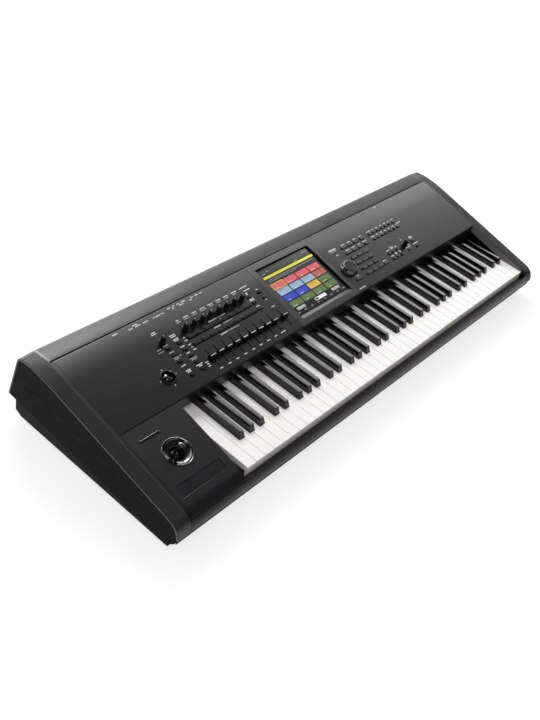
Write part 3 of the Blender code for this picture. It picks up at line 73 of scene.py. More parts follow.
TOUCH_GAP, MERGE_GAP = 0.3 * MM, 0.005 * MM
GROOVE_X, PANEL_END_X, CHEEK_INNER_X = 573.5 * MM, 569 * MM, 591 * MM
TRIM_THICKNESS, TRIM_EDGE_DROP = 3.5 * MM, 3 * MM
REAR_GAP_Y, REAR_TRIM_GAP, REAR_TRIM_SKIRT = 137.8 * MM, 2.0 * MM, 17 * MM
CHASSIS_WALL, CHASSIS_FLOOR, CHASSIS_INSET = 2.5 * MM, 1.8 * MM, 3 * MM
CHASSIS_FRONT_Y, CHASSIS_REAR_Y = FRONT_Y + 2.6 * MM, REAR_Y - 16.5 * MM
CHASSIS_FRONT_TOP_Z, CHASSIS_REAR_TOP_Z = BOTTOM_Z + 32.9 * MM, BOTTOM_Z + 34 * MM
CHASSIS_BENDS = [6 * MM, 8 * MM, 5 * MM, 3 * MM]
RAIL_BOTTOM_Z = CHASSIS_FRONT_TOP_Z + TOUCH_GAP
PANEL_SHEET, FASCIA_HEIGHT, FASCIA_RADIUS, PANEL_SKIRT, SEAM = 2.5 * MM, 24 * MM, 2.5 * MM, 24 * MM, 0.5 * MM
ARM_WALL, ARM_DEPTH, ARM_BACK_Y, PAINTED_LIGHT_DEPTH = 2.2 * MM, 16 * MM, PANEL_EDGE_Y + 10 * MM, 15 * MM

# Keys
WHITE_KEYS, KEYS_PER_OCTAVE = 43, 7
KEY_LEFT_X, KEY_PITCH = -427.5 * MM, (566.49 + 427.5) / 43 * MM
KEY_GAP, KEY_PLATE, KEY_LIP_HEIGHT, KEY_LIP_DEPTH = 0.8 * MM, 12 * MM, 25.5 * MM, 5 * MM
KEY_FRONT_Y, KEY_TAIL_Y = FRONT_Y + 18.64 * MM, 34.14 * MM
KEY_UNDERSIDE_Z = KEY_TOP_Z - KEY_PLATE
BLACK_KEY_FRONT_Y, BLACK_TAIL_Y = KEY_FRONT_Y + 51.4 * MM, 26.9 * MM
BLACK_KEY_WIDTH, BLACK_KEY_TOP_WIDTH, BLACK_KEY_RISE, BLACK_KEY_ROOM = 13.2 * MM, 9.6 * MM, 13 * MM, 0.6 * MM
BLACK_KEY_MIDDLES = (1.857, 3.0, 4.143, 5.9, 7.1)
SECTIONS = (("low", 0, 14), ("middle", 14, 28), ("high", 28, 43))

# Blocks at the ends of the keys, and the rail in front of them
BLOCK_WALL, BLOCK_RIGHT_X, BLOCK_FLANK, BLOCK_LEDGE_Z = 3 * MM, -443.5 * MM, 13.5 * MM, 49.8 * MM
BLOCK_NOSE_Z, BLOCK_HEM_Z, RAIL_REAR_Y = 63.7 * MM, 41.8 * MM, FRONT_Y + 16.2 * MM

# Display module
DISPLAY_LEFT, DISPLAY_RIGHT, DISPLAY_SHEET = -101.7 * MM, 91.9 * MM, 3.7 * MM
WINDOW_LEFT, WINDOW_WIDTH, WINDOW_FRONT, WINDOW_CHAMFER = -86 * MM, 166 * MM, 15.5 * MM, 8 * MM
WINDOW_DEPTH = (REAR_GAP_Y - PANEL_EDGE_Y) / cos(PANEL_SLOPE) - WINDOW_FRONT - 17 * MM
GLASS_MARGIN, GLASS_THICKNESS, GLASS_TILT = 3 * MM, 2 * MM, radians(0.75)

# Controls: places on the panel in millimetres
SLIDER_PITCH, FIRST_SLIDER_X = 21.5, -322
SLIDER_XS = [FIRST_SLIDER_X + SLIDER_PITCH * i for i in range(9)] + [-121]
SLOT_MIDDLE, SLOT_SIZE, SLIDER_REST = 37.8, (2.2, 42.8), 39
KNOBS = {**{f"control_knob_{i + 1}": (FIRST_SLIDER_X + SLIDER_PITCH * i, 112) for i in range(8)},
         "volume_knob": (-380, 110), "tempo_knob": (316, 46)}
DIAL = (121, 61)
UPPER_ROW, ROW_STEP = 93.5, 16
SMALL, LONG, KEYPAD, LAST_MODE, BANK = (9.4, 5.2), (20.9, 6.0), (18.4, 6.0), (12.2, 6.0), (9.2, 5.2)
KEYPAD_X, KEYPAD_ROW, LAST_MODE_X, BANK_X, BANK_PITCH = 160, 29.5, 225.7, 258, 15.65
TRANSPORT_X, TRANSPORT_ROW = 256.6, 29.5
THROUGH = 3  # how far a cutting tool stands out of what it cuts
BUTTON_DEPTH, BUTTON_HEIGHT, BUTTON_ROOM, SHAFT_RADIUS = 4.5, 2.2, 0.4, 3
FLUTE_FOOT, FLUTE_DEPTH = 3.4, 0.35
SCALLOPS, SCALLOP_FOOT, SCALLOP_DEPTH, SCALLOP_POWER = 22, 1.2, 1.0, 0.6
CAP_FOOT, CAP_LEAN, CAP_LINE = 2.2, 1.4, 0.65
WORD_DASH, WORD_GAP = 3.2, 0.6
VECTOR, VECTOR_BOSS, VECTOR_HOLE, VECTOR_MARKS = (-422.5, 46.5), 15, 12.4, 18
JOYSTICK, JOYSTICK_HOLE = (-509.5, -72.5), 25.7
SWITCH_SLOT, SWITCH_ROW = (-552, -509, 6.6), -26.8
SWITCH_GAP, SWITCH_HEIGHT = 0.8, 0.9
RIBBON, RIBBON_RECESS, RIBBON_GAP, RIBBON_TOP = (-559.3, -459.3, -140.9, -119.3), 1.8, 0.4, 0.9

# Rear connectors
JACK_Y, JACK_Z, JACK_SHEET = 179.5 * MM, CHASSIS_REAR_TOP_Z + 34 * MM, 2 * MM
JACK_XS = [-500 + 22 * i for i in range(10)]
DIN_XS, DATA_XS, INLET_X, ROCKER_X = (-240, -212), (-180, -160, -140), 340, 300
SOCKET_BOARD_ENDS = (-511, 371)
JACK_HOLE, DIN_HOLE, DIN_PINS, ROCKER_RADIUS, ROCKER_LEAN = 6, 8.8, 4.6, 9.6, radians(14)
DATA_HALF, DATA_ROOM, INLET_HALF, INLET_ROOM, ROCKER_HALF = (6.7, 3), (7.1, 3.4), (15.5, 12), (15.9, 12.4), (7.4, 10)

# Turned pieces: profiles of radius and height
JACK_BODY = [(3.25, 1.6), (5.0, 1.6), (5.0, 0), (5.5, 0), (5.5, -12), (0.6, -12), (0.6, -11), (3.25, -11)]
JACK_NUT = [(5.0, 0.05), (5.0, 1.35), (5.58, 1.35), (5.58, 0.05)]
JACK_SLEEVE = [(3.25, 1.65), (4.6, 1.65), (4.85, 1.3), (4.85, 0.2), (3.25, 0.2)]
DIN_SHELL = [(0.5, -2.5), (6.9, -2.5), (6.9, 0.3), (8.4, 0.3), (8.4, -12), (0.5, -12)]
DIN_PIN = [(0.45, -2.6), (0.9, -2.6), (0.9, -2.2), (0.45, -2.2)]
JOYSTICK_DISH = [(13.2, -6), (15, -6.2), (18.5, -5.6), (21.5, -4.2), (23.6, -2.2), (24.6, -0.4), (25.2, 0.9),
                 (26.0, 1.3), (26.9, 1.1), (27.3, 0.6), (27.3, 0.3), (25.3, 0.3), (25.3, -24), (23.3, -24),
                 (23.3, -8), (13.2, -8)]
VECTOR_STICK = [(5.6, -6.0), (5.8, -3.0), (8.4, -2.4), (9.0, -1.4), (9.0, -0.3), (8.4, 0.7), (7.2, 1.8), (5.6, 3.0),
                (4.2, 4.8), (3.1, 7.6), (2.4, 10.6), (2.2, 13.0), (2.6, 14.4), (2.9, 15.4), (2.7, 16.5), (1.9, 17.3),
                (0.6, 17.5)]
VECTOR_RING = [(12.3, -3.0), (12.3, 1.2), (12.6, 1.7), (13.4, 1.9), (14.4, 1.7), (15.2, 1.1), (15.6, 0.1),
               (14.0, 0.1)]
# Height, half width and corner radius of the joystick's square boot and of its stick, and the boot's narrower way
JOYSTICK_BOOT = [(-8.0, 10.6, 5.0), (-7.0, 10.2, 5.0), (-6.0, 9.6, 5.0), (-5.0, 8.9, 5.0), (-4.0, 8.0, 4.8),
                 (-3.0, 7.0, 4.6), (-1.5, 6.2, 4.5), (0.5, 5.7, 4.4), (3.0, 5.2, 4.4), (6.0, 4.8, 4.2),
                 (9.5, 4.3, 4.0), (12.5, 3.9, 3.9), (14.5, 4.1, 4.1), (16.3, 4.6, 4.6), (18.2, 4.9, 4.9),
                 (20.0, 4.5, 4.5), (21.2, 3.4, 3.4), (21.8, 1.8, 1.8), (22.0, 0.5, 0.5)]
BOOT_NARROW = 0.94

# Screws and feet: places in millimetres, then profiles of radius and height
TRAY_SCREW_XS, TRAY_SCREW_YS = range(-540, 541, 120), (-150, -20, 110, 150)
TRAY_SCREW = [(1.2, -0.5), (1.2, 0.4), (1.5, 1.0), (3.0, 0.8), (3.6, 0.2), (3.7, -0.5)]
PLATE_SCREW_XS, PLATE_SCREW_RISE = range(-560, 561, 140), 27 * MM
PLATE_SCREW = [(0.9, -0.6), (0.9, 0.5), (1.3, 1.0), (2.4, 0.85), (3.0, 0.3), (3.1, -0.6)]
FOOT_XS, FOOT_YS = {"left": -536, "right": 536}, {"front": -168, "rear": 158.5}
FOOT = [(2.4, 4.2), (2.6, 0.4), (3.2, 0.0), (10.4, 0.0), (11.4, 0.35), (11.8, 1.2), (12.0, 8.0), (2.4, 8.0)]

# Studio, in metres: each lamp's place, size and roll in degrees, then the camera
LAMPS = {"softbox": ((0.8, 1.9, 2.15), (1.1, 1.1), 0), "key_lamp": ((-1.4, -1.0, 2.1), (1.2, 1.2), 0),
         "side_strip": ((2.0, 0.8, 1.73), (2.0, 0.5), 55), "rear_strip": ((0.3, 2.6, 0.7), (5.0, 0.22), 0)}
LAMP_TARGET, FLOOR_HALF, FLOOR_GLOW = Vector((0, 0, 0.1)), 30.0, 0.7
WALL_WAY, WALL_FADE, WALL_LIGHT = (0.35, 0.9, -0.25), (0.12, 0.75), (0.06, 3.4)
CAMERA_PLACE, CAMERA_SHIFT = (-1.28716, -0.69068, 1.13154), (-0.02965, 0.02802)
CAMERA_AXES = ((0.6255838, -0.74911124, 0.21789278), (0.40677893, 0.55152676, 0.72825074),
               (-0.66571451, -0.36694767, 0.64974887))


def linear(code):
    """An sRGB hex colour as the linear values that a shader takes."""
    parts = [int(code[k:k + 2], 16) / 255 for k in (1, 3, 5)]
    return (*(c / 12.92 if c <= 0.04045 else ((c + 0.055) / 1.055) ** 2.4 for c in parts), 1.0)


def colour(label, code, about):
    return FloatVectorProperty(name=label, description=about, subtype="COLOR", size=4, min=0.0, max=1.0,
                               default=linear(code))


def length(label, size, about):
    return FloatProperty(name=label, description=about, default=size * MM, min=0.0, subtype="DISTANCE", unit="LENGTH")


class CaseSizes(PropertyGroup):
    """Sizes of the case's edges and of the ribs on its trims."""

    edge: length("Moulded edge", 0.5, "Rounding of the moulded edges")
    wood_edge: length("Wood edge", 1.0, "Rounding of the wooden cheeks")
    lip: length("Panel lip", 1.3, "Rounding of the panels' rear edge and of the ribbon's front edge")
    rib_depth: length("Rib depth", 1.3, "Depth of the grooves between the ribs of the side trims")
    ribs: IntProperty(name="Ribs", description="Ribs that run along each side trim", default=8, min=3, max=20)
    cross_rib_pitch: length("Cross rib pitch", 3.0, "Distance between the short ribs of the rear trim")
    cross_rib_height: length("Cross rib height", 0.9, "Height of the short ribs of the rear trim")
    cross_rib_share: FloatProperty(name="Ribbed share", description="Share of the rear trim that is ribbed",
                                   default=0.70, min=0.1, max=0.95, subtype="FACTOR")
    arc_steps: IntProperty(name="Arc steps", description="Steps in each rounded corner of the case", default=14,
                           min=4)


class KeySizes(PropertyGroup):
    """Roundings of the keys."""

    white_edge: length("White key edge", 0.55, "Rounding of a white key")
    black_edge: length("Black key edge", 1.3, "Rounding of a black key's upper edges")
    black_slope: length("Black key slope", 5, "How far a black key's front leans back")


class ControlSizes(PropertyGroup):
    """Sizes of the knobs, the slider caps and the printing."""

    knob_height: length("Knob height", 15.95, "Height of a knob over the panel")
    knob_skirt: length("Knob skirt radius", 6.3, "Radius of a knob at its foot")
    knob_waist: length("Knob grip radius", 5.1, "Radius of a knob's grip")
    flutes: IntProperty(name="Flutes", description="Grooves round a knob's grip", default=12, min=3, max=40)
    cap_width: length("Slider cap width", 15.5, "Width of a slider cap across its slot")
    cap_length: length("Slider cap length", 8.5, "Length of a slider cap along its slot")
    cap_height: length("Slider cap height", 10.5, "Height of a slider cap")
    dial_radius: length("Dial radius", 19.5, "Radius of the value dial")
    dial_top: length("Dial top radius", 16, "Radius of the value dial at its top")
    dial_height: length("Dial height", 9.3, "Height of the value dial")
    button_edge: length("Button edge", 0.5, "Rounding of the buttons")
    print_height: length("Print height", 1.9, "Height of a printed mark")


class Colours(PropertyGroup):
    """Colours of the finishes."""

    panel: colour("Panel paint", "#0b0b0b", "Textured paint of the control panels")
    bezel: colour("Display module", "#151515", "Plastic round the screen")
    block: colour("Key block", "#131215", "Satin plastic of the block left of the keys")
    trim: colour("Trims", "#1c1c1d", "Ribbed plastic trims")
    rail: colour("Front rail", "#060606", "Plastic rail in front of the keys")
    wood: colour("Stained wood", "#070606", "Black stained cheeks")
    wood_light: colour("Wood grain", "#222020", "Lighter grain in the cheeks")
    # Painted light: this grey stands in for the light on the arm's dark inner wall
    arm: colour("Arm lining", "#6c6c6e", "Strip on the inside of the arm beside the last key")
    chassis: colour("Chassis", "#070707", "Powder coated steel tray")
    white_key: colour("White keys", "#f4f3ee", "Moulded white keys")
    black_key: colour("Black keys", "#050505", "Moulded black keys")
    knob: colour("Knobs", "#070707", "Knobs and slider caps")
    switch: colour("Mixer switches", "#070707", "Switches round the sliders and knobs")
    button: colour("Buttons", "#141414", "Buttons right of the screen")
    gloss: colour("Joystick", "#070708", "Polished joystick parts")
    ink: colour("Printing", "#ecece8", "Printed marks")
    rubber: colour("Feet", "#141414", "Rubber feet")
    floor: colour("Floor", "#a6a6a6", "Studio floor")


def power(label, watts, about):
    return FloatProperty(name=label, description=about, default=watts, min=0.0, unit="POWER")


class Studio(PropertyGroup):
    """Camera and light."""

    lens: FloatProperty(name="Focal length", description="Camera lens on a 36 mm frame", default=44.005,
                        unit="CAMERA")
    sky: FloatProperty(name="Sky", description="Strength of the soft light from all round", default=0.47, min=0.0)
    softbox: power("Softbox", 38.0, "Power of the lamp high behind on the right")
    key_lamp: power("Key lamp", 14.0, "Power of the soft lamp high at the front on the left")
    side_strip: power("Side strip", 9.0, "Power of the slanted lamp that the keys' tops mirror")
    rear_strip: power("Rear strip", 40.0, "Power of the long low lamp behind")


def settings(group):
    return getattr(bpy.context.scene, f"workstation_{group}")


# ---------------------------------------------------------------- shapes


def slope_frame(x=0.0, along=0.0, height=0.0):
    """Axes on the panel's plane: X as is, Y up the slope, Z out of the panel."""
    start = Matrix.Translation((x, PANEL_EDGE_Y, PANEL_EDGE_Z))
    return start @ Matrix.Rotation(PANEL_SLOPE, 4, "X") @ Matrix.Translation((0, along, height))


def panel_frame(x, along, height=0.0):
    """Slope axes at a place given in millimetres."""
    return slope_frame(x * MM, along * MM, height * MM)


def rear_frame(x, rise=0.0):
    """Axes on the connector panel's outer face, with Z pointing out of it and Y down."""
    return Matrix.Translation((x * MM, JACK_Y, JACK_Z + rise)) @ Matrix.Rotation(-pi / 2, 4, "X")


SIDE = Matrix(((0, 0, 1, 0), (1, 0, 0, 0), (0, 1, 0, 0), (0, 0, 0, 1)))


def slope_z(y):
    return PANEL_EDGE_Z + (y - PANEL_EDGE_Y) * tan(PANEL_SLOPE)


def line_meet(point_a, angle_a, point_b, angle_b):
    """Where two lines in the Y-Z plane meet, each given by a point and its angle."""
    (ya, za), (yb, zb) = point_a, point_b
    ca, sa, cb, sb = cos(angle_a), sin(angle_a), cos(angle_b), sin(angle_b)
    step = ((yb - ya) * sb - (zb - za) * cb) / (ca * sb - sa * cb)
    return (ya + step * ca, za + step * sa)


def rounded(corners, radii, steps):
    """A path through corners, each turned into an arc of its radius."""
    path = [corners[0]]
    for i in range(1, len(corners) - 1):
        before, corner, after = (Vector(c) for c in corners[i - 1:i + 2])
        into = (before - corner).normalized()
        out = (after - corner).normalized()
        half = into.angle(out) / 2
        reach = radii[i - 1] / tan(half)
        centre = corner + (into + out).normalized() * radii[i - 1] / sin(half)
        start = corner + into * reach - centre
        turn = start.angle_signed(corner + out * reach - centre)
        path += [tuple(centre + Matrix.Rotation(-turn * k / steps, 2) @ start) for k in range(steps + 1)]
    return path + [corners[-1]]


def upper_outline(rise=0.0, inset=0.0):
    """The case's side view from its rear lower corner over the top to under the nose."""
    slope_point = (PANEL_EDGE_Y, PANEL_EDGE_Z + rise - inset / cos(PANEL_SLOPE))
    roll = (ROLL_Y, slope_z(ROLL_Y) + rise - inset / cos(PANEL_SLOPE))
    crown = (CROWN_Y, roll[1] + (CROWN_Y - ROLL_Y) * tan(ROLL_SLOPE))
    rear_point = (REAR_Y - inset / cos(REAR_LEAN), CHEEK_HEEL_Z)
    rear_top = line_meet(rear_point, pi / 2 + REAR_LEAN, crown, -TOP_FALL)
    nose = line_meet((FRONT_Y + inset, 0), pi / 2, slope_point, PANEL_SLOPE)
    toe_angle = atan2(LOWER_NOSE_RISE - TOE_RISE, -TOE_REACH)
    toe = (CHEEK_TOE[0] + inset * sin(toe_angle), CHEEK_TOE[1] - inset * cos(toe_angle))
    under = line_meet((FRONT_Y + inset, 0), pi / 2, toe, toe_angle)
    radii = [radius - inset for radius in (REAR_CORNER_RADIUS, CROWN_RADIUS, ROLL_RADIUS,
                                           NOSE_RADIUS, LOWER_NOSE_RADIUS)]
    return rounded([rear_point, rear_top, crown, roll, nose, under, toe], radii, settings("case").arc_steps)


def clipped(path, axis, value, above):
    """The part of a path on one side of a level, with a point where it crosses."""
    def keep(point):
        return point[axis] >= value if above else point[axis] <= value
    result = []
    for a, b in zip(path, path[1:]):
        if keep(a):
            result.append(a)
        if keep(a) != keep(b):
            share = (value - a[axis]) / (b[axis] - a[axis])
            result.append((a[0] + share * (b[0] - a[0]), a[1] + share * (b[1] - a[1])))
    if keep(path[-1]):
        result.append(path[-1])
    return result


def case_line(inset=0.0, rise=0.0, behind=None, before=None, over=None, under=None):
    """The stretch of the case's side view behind, before, over and under the given places."""
    path = upper_outline(rise, inset)
    for axis, value, above in ((0, before, False), (0, behind, True), (1, under, False), (1, over, True)):
        if value is not None:
            path = clipped(path, axis, value, above)
    return path


def prism(outline, low, high, axes):
    """A flat outline in the axes' X-Y plane, made solid along their Z."""
    shape = bmesh.new()
    floor = [shape.verts.new(axes @ Vector((x, y, low))) for x, y in outline]
    roof = [shape.verts.new(axes @ Vector((x, y, high))) for x, y in outline]
    shape.faces.new(floor[::-1])
    shape.faces.new(roof)
    for k in range(len(outline)):
        after = (k + 1) % len(outline)
        shape.faces.new((floor[k], floor[after], roof[after], roof[k]))
    bmesh.ops.remove_doubles(shape, verts=shape.verts, dist=MERGE_GAP)
    bmesh.ops.recalc_face_normals(shape, faces=shape.faces)
    return shape


def block(low, high, axes=Matrix()):
    """A box between two corners given in millimetres."""
    (x0, y0, z0), (x1, y1, z1) = low, high
    outline = [(x0 * MM, y0 * MM), (x1 * MM, y0 * MM), (x1 * MM, y1 * MM), (x0 * MM, y1 * MM)]
    return prism(outline, z0 * MM, z1 * MM, axes)


def loft(rings, closed=False):
    """A skin through rings of points, closed into a ring itself or capped at its ends."""
    shape = bmesh.new()
    rows = [[shape.verts.new(point) for point in ring] for ring in rings]
    count = len(rows[0])
    for first, second in zip(rows, rows[1:] + rows[:1] if closed else rows[1:]):
        for k in range(count):
            after = (k + 1) % count
            shape.faces.new((first[k], first[after], second[after], second[k]))
    if not closed:
        shape.faces.new(rows[0][::-1])
        shape.faces.new(rows[-1])
    bmesh.ops.recalc_face_normals(shape, faces=shape.faces)
    return shape


def turned(profile, steps, axes, closed=False, grip=None):
    """A profile of radius and height in millimetres, turned about the axes' Z. The grip changes a radius."""
    rings = []
    for radius, height in profile:
        ring = []
        for k in range(steps):
            angle = 2 * pi * k / steps
            reach = grip(radius, height, angle) if grip else radius
            ring.append(axes @ Vector((reach * cos(angle) * MM, reach * sin(angle) * MM, height * MM)))
        rings.append(ring)
    return loft(rings, closed)


def soften(shape, width, segments=2, least=radians(28), only=None):
    """Rounds every edge that is sharper than an angle."""
    edges = [edge for edge in shape.edges if edge.is_manifold and edge.calc_face_angle(0) > least
             and (only is None or only(edge))]
    bmesh.ops.bevel(shape, geom=edges, offset=width, segments=segments, profile=0.5, affect="EDGES",
                    clamp_overlap=True)
    return shape


def as_mesh(shape, name="shape"):
    mesh = bpy.data.meshes.new(name)
    shape.to_mesh(mesh)
    shape.free()
    return mesh


def together(shapes):
    """Several shapes as the parts of one."""
    result = bmesh.new()
    for shape in shapes:
        mesh = as_mesh(shape)
        result.from_mesh(mesh)
        bpy.data.meshes.remove(mesh)
    return result


def new_thing(name, data):
    """An object in the scene."""
    thing = bpy.data.objects.new(name, data)
    bpy.context.scene.collection.objects.link(thing)
    return thing


def carve(shape, tools, operation="DIFFERENCE"):
    """The shape with the tools cut out of it, or joined to it."""
    things = [new_thing("carving", as_mesh(solid)) for solid in (shape, together(tools))]
    boolean = things[0].modifiers.new("carving", "BOOLEAN")
    boolean.operation, boolean.solver, boolean.object = operation, "EXACT", things[1]
    bpy.context.view_layer.update()
    graph = bpy.context.evaluated_depsgraph_get()
    made = bpy.data.meshes.new_from_object(things[0].evaluated_get(graph))
    result = bmesh.new()
    result.from_mesh(made)
    bmesh.ops.remove_doubles(result, verts=result.verts, dist=MERGE_GAP)
    for thing in things:
        mesh = thing.data
        bpy.data.objects.remove(thing, do_unlink=True)
        bpy.data.meshes.remove(mesh)
    bpy.data.meshes.remove(made)
    return result


def patch(places, axes_of, lift):
    """Flat marks, each (x, along, width, depth) in millimetres, laid on the surface that axes_of gives."""
    shape = bmesh.new()
    for x, along, width, depth in places:
        shape.faces.new([shape.verts.new(axes_of(x + sx * width / 2, along + sy * depth / 2, lift))
                         for sx, sy in ((-1, -1), (1, -1), (1, 1), (-1, 1))])
    return shape


def soft_normals(shape, limit):
    """One normal for each face corner: the mean over the corner's faces within an angle, in which large faces
    count most. Flat faces stay flat beside their rounded edges."""
    areas = {face: face.calc_area() for face in shape.faces}
    normals = []
    for face in shape.faces:
        for loop in face.loops:
            total = Vector()
            for near in loop.vert.link_faces:
                if near is face or near.normal.dot(face.normal) > limit:
                    total += near.normal * areas[near]
            normals.append(total.normalized() if total.length > 0 else face.normal)
    return normals


def add_piece(name, shape, material, body, nodes=(), smooth=radians(32)):
    """Makes one visible piece of a finish or a material, which rides on a body and may stand for CAD nodes."""
    shape.normal_update()
    normals = soft_normals(shape, cos(smooth))
    mesh = as_mesh(shape, name)
    mesh.materials.append(finish(material) if isinstance(material, str) else material)
    mesh.shade_smooth()
    mesh.normals_split_custom_set(normals)
    thing = new_thing(name, mesh)
    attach(thing, body)
    if nodes:
        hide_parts(*nodes)


# ---------------------------------------------------------------- finishes


def add_node(tree, kind, inputs=None, **options):
    """Adds one node, sets its options and fills its inputs with values or with other nodes' outputs."""
    node = tree.nodes.new(kind)
    for option, value in options.items():
        setattr(node, option, value)
    for socket, value in (inputs or {}).items():
        if isinstance(value, bpy.types.NodeSocket):
            tree.links.new(value, node.inputs[socket])
        else:
            node.inputs[socket].default_value = value
    return node


def new_finish(name, tint, roughness, sockets=None):
    """A material with the values that are the same all over it, its tree, its shader and the place in metres."""
    material = bpy.data.materials.new(name)
    material.use_nodes = True
    tree = material.node_tree
    shader = tree.nodes["Principled BSDF"]
    for socket, value in {"Base Color": tint, "Roughness": roughness, **(sockets or {})}.items():
        shader.inputs[socket].default_value = value
    spot = add_node(tree, "ShaderNodeTexCoord").outputs["Object"]
    return material, tree, shader, spot


def grain(tree, shader, spot, size, depth, dull, shine):
    """Grain of a size and depth in millimetres: the surface is dented by it, and duller in its hollows."""
    noise = add_node(tree, "ShaderNodeTexNoise", {"Vector": spot, "Scale": 1 / (size * MM), "Detail": 2.0})
    rough = add_node(tree, "ShaderNodeMapRange", {0: noise.outputs[0], "From Min": 0.3, "From Max": 0.7,
                                                  "To Min": dull, "To Max": shine})
    bump = add_node(tree, "ShaderNodeBump", {"Height": noise.outputs[0], "Distance": depth * MM, "Strength": 0.6})
    tree.links.new(rough.outputs[0], shader.inputs["Roughness"])
    tree.links.new(bump.outputs[0], shader.inputs["Normal"])


# Each finish has its material's name, its tint as a colour setting or a hex code, its roughness and specular
# level. Then comes its grain: size and depth in millimetres, roughness of hollows and of crests. Then come its
# clouds: size in millimetres, darkest and lightest tint as a share of the tint or as a hex code. Other values of
# the shader come last.
FINISHES = {
    # Polyurethane sprayed on ABS with a fine texture: a dark charcoal that dulls every reflection.
    # The real grit is 0.15 mm, drawn 0.5 mm so that it shows.
    "panel_paint": ("Sprayed textured polyurethane on ABS", "panel", 0.3, 0.4, (0.5, 0.015, 0.34, 0.27),
                    (60, 0.85, 1.15)),
    # ABS from a finely eroded mould: smoother than the paint, so edges catch the light.
    "bezel_plastic": ("Eroded mould ABS", "bezel", 0.4, 0.5, (0.7, 0.015, 0.44, 0.34), (45, 0.9, 1.1)),
    # ABS from a satin mould: an even sheen with a slightly cool tint and no visible grain.
    "block_plastic": ("Satin moulded ABS", "block", 0.36, 0.45, (1.2, 0.006, 0.4, 0.33), (80, 0.9, 1.12)),
    # Ribbed ABS moulding: semi-matt crests that hold a soft line of light.
    "trim_plastic": ("Ribbed moulded ABS", "trim", 0.38, 0.8, (0.6, 0.02, 0.42, 0.33), (70, 0.9, 1.12)),
    # ABS from a half-polished mould: black with long soft reflections.
    "rail_plastic": ("Half polished ABS", "rail", 0.3, 0.2, (2, 0.004, 0.34, 0.26)),
    # Steel sheet, powder coated: a fine orange peel under a satin black.
    "powder_coat": ("Powder coated steel", "chassis", 0.55, 0.12, (1.1, 0.04, 0.62, 0.5), (90, 0.9, 1.15)),
    # Zinc plated steel: grey metal with cloudy patches from the bath.
    "zinc_steel": ("Zinc plated steel", "#a8a9a6", 0.38, 0.5, (3, 0.006, 0.48, 0.3), (14, "#8f908d", "#b9bab6"),
                   {"Metallic": 1.0}),
    # Black passivated screws: dark metal with bright rubbed spots.
    "black_zinc": ("Black zinc steel", "#2b2b2d", 0.35, 0.5, (0.8, 0.01, 0.45, 0.28), None, {"Metallic": 1.0}),
    # Nickel plated brass, turned: bright, slightly warm metal with fine tool marks.
    "nickel": ("Nickel plated brass", "#c9c4ba", 0.22, 0.5, (0.4, 0.008, 0.3, 0.18), None, {"Metallic": 1.0}),
    # Injected acrylic, polished: slightly warm white with a clear gloss.
    "white_key_acrylic": ("Polished moulded acrylic", "white_key", 0.26, 0.3, (4, 0.004, 0.29, 0.22),
                          (30, 0.985, 1.0)),
    # ABS with a semi-gloss face: black, with a grey band of light along its top.
    "black_key_abs": ("Semi gloss moulded ABS", "black_key", 0.2, 0.5, (1.5, 0.002, 0.22, 0.17)),
    # Matt moulded ABS: nearly black, with a small soft highlight.
    "knob_abs": ("Matt moulded ABS", "knob", 0.48, 0.25, (0.5, 0.02, 0.54, 0.42)),
    # Keycaps from a satin mould: blacker than the paint round them.
    "switch_abs": ("Satin moulded ABS keycap", "switch", 0.35, 0.25, (0.5, 0.01, 0.4, 0.3)),
    # Painted light: a light grey strip over the top of the arm's dark inner wall, standing in for the light that the
    # wall catches. It is dull enough to stay even beside the white keys.
    "arm_painted_light": ("Grey moulded ABS", "arm", 0.5, 0.4, (1.2, 0.01, 0.56, 0.45), (40, 0.92, 1.05)),
    # Moulded ABS keycaps, spark eroded: their tops hold more light than the panel's paint.
    "button_abs": ("Spark eroded ABS", "button", 0.36, 0.55, (0.5, 0.015, 0.4, 0.32)),
    # ABS from a mirror polished mould: deep black with sharp white highlights.
    "polished_abs": ("Mirror polished ABS", "gloss", 0.08, 0.9, (6, 0.003, 0.1, 0.06), None,
                     {"Coat Weight": 1.0, "Coat Roughness": 0.04}),
    # Screen printed enamel: flat off-white, thin enough to take the panel's texture.
    "printed_ink": ("Screen printed enamel", "ink", 0.5, 0.3, (0.5, 0.01, 0.55, 0.45), (3, 0.9, 1.0)),
    # The same enamel in beige, for second words.
    "faded_ink": ("Beige printed enamel", "#b3b0a4", 0.5, 0.3, (0.5, 0.01, 0.55, 0.45), (3, 0.75, 1.05)),
    # Moulded neoprene: matt, with a dusty bloom.
    "foot_rubber": ("Moulded neoprene", "rubber", 0.85, 0.3, (0.5, 0.04, 0.92, 0.78), (8, 0.8, 1.4)),
    # Moulded nylon: milky black with a waxy sheen.
    "nylon": ("Moulded nylon", "#1e1e20", 0.4, 0.5, (1.5, 0.01, 0.46, 0.34)),
    # Matt polyester film over the touch strip: smoother than the block it lies in.
    "ribbon_film": ("Matt polyester film", "#141316", 0.3, 0.5, (0.8, 0.006, 0.34, 0.26)),
    # Chemically hardened glass over an unlit border: black and glossy.
    "screen_glass": ("Hardened glass", "#040405", 0.08, 0.5, (8, 0.001, 0.1, 0.06), None, {"IOR": 1.5}),
}


@cache
def finish(kind):
    """The material of a finish, made once."""
    name, tint, roughness, specular, grit, clouds, sockets = (*FINISHES[kind], None, None)[:7]
    tint = linear(tint) if tint[0] == "#" else getattr(settings("colours"), tint)
    material, tree, shader, spot = new_finish(name, tint, roughness,
                                              {"Specular IOR Level": specular, **(sockets or {})})
    grain(tree, shader, spot, *grit)
    if clouds:
        dark, light = (linear(share) if isinstance(share, str) else (*(part * share for part in tint[:3]), 1.0)
                       for share in clouds[1:])
        noise = add_node(tree, "ShaderNodeTexNoise", {"Vector": spot, "Scale": 1 / (clouds[0] * MM), "Detail": 3.0})
        mix = add_node(tree, "ShaderNodeMix", {0: noise.outputs[0], 6: dark, 7: light}, data_type="RGBA")
        tree.links.new(mix.outputs[2], shader.inputs["Base Color"])
    return material


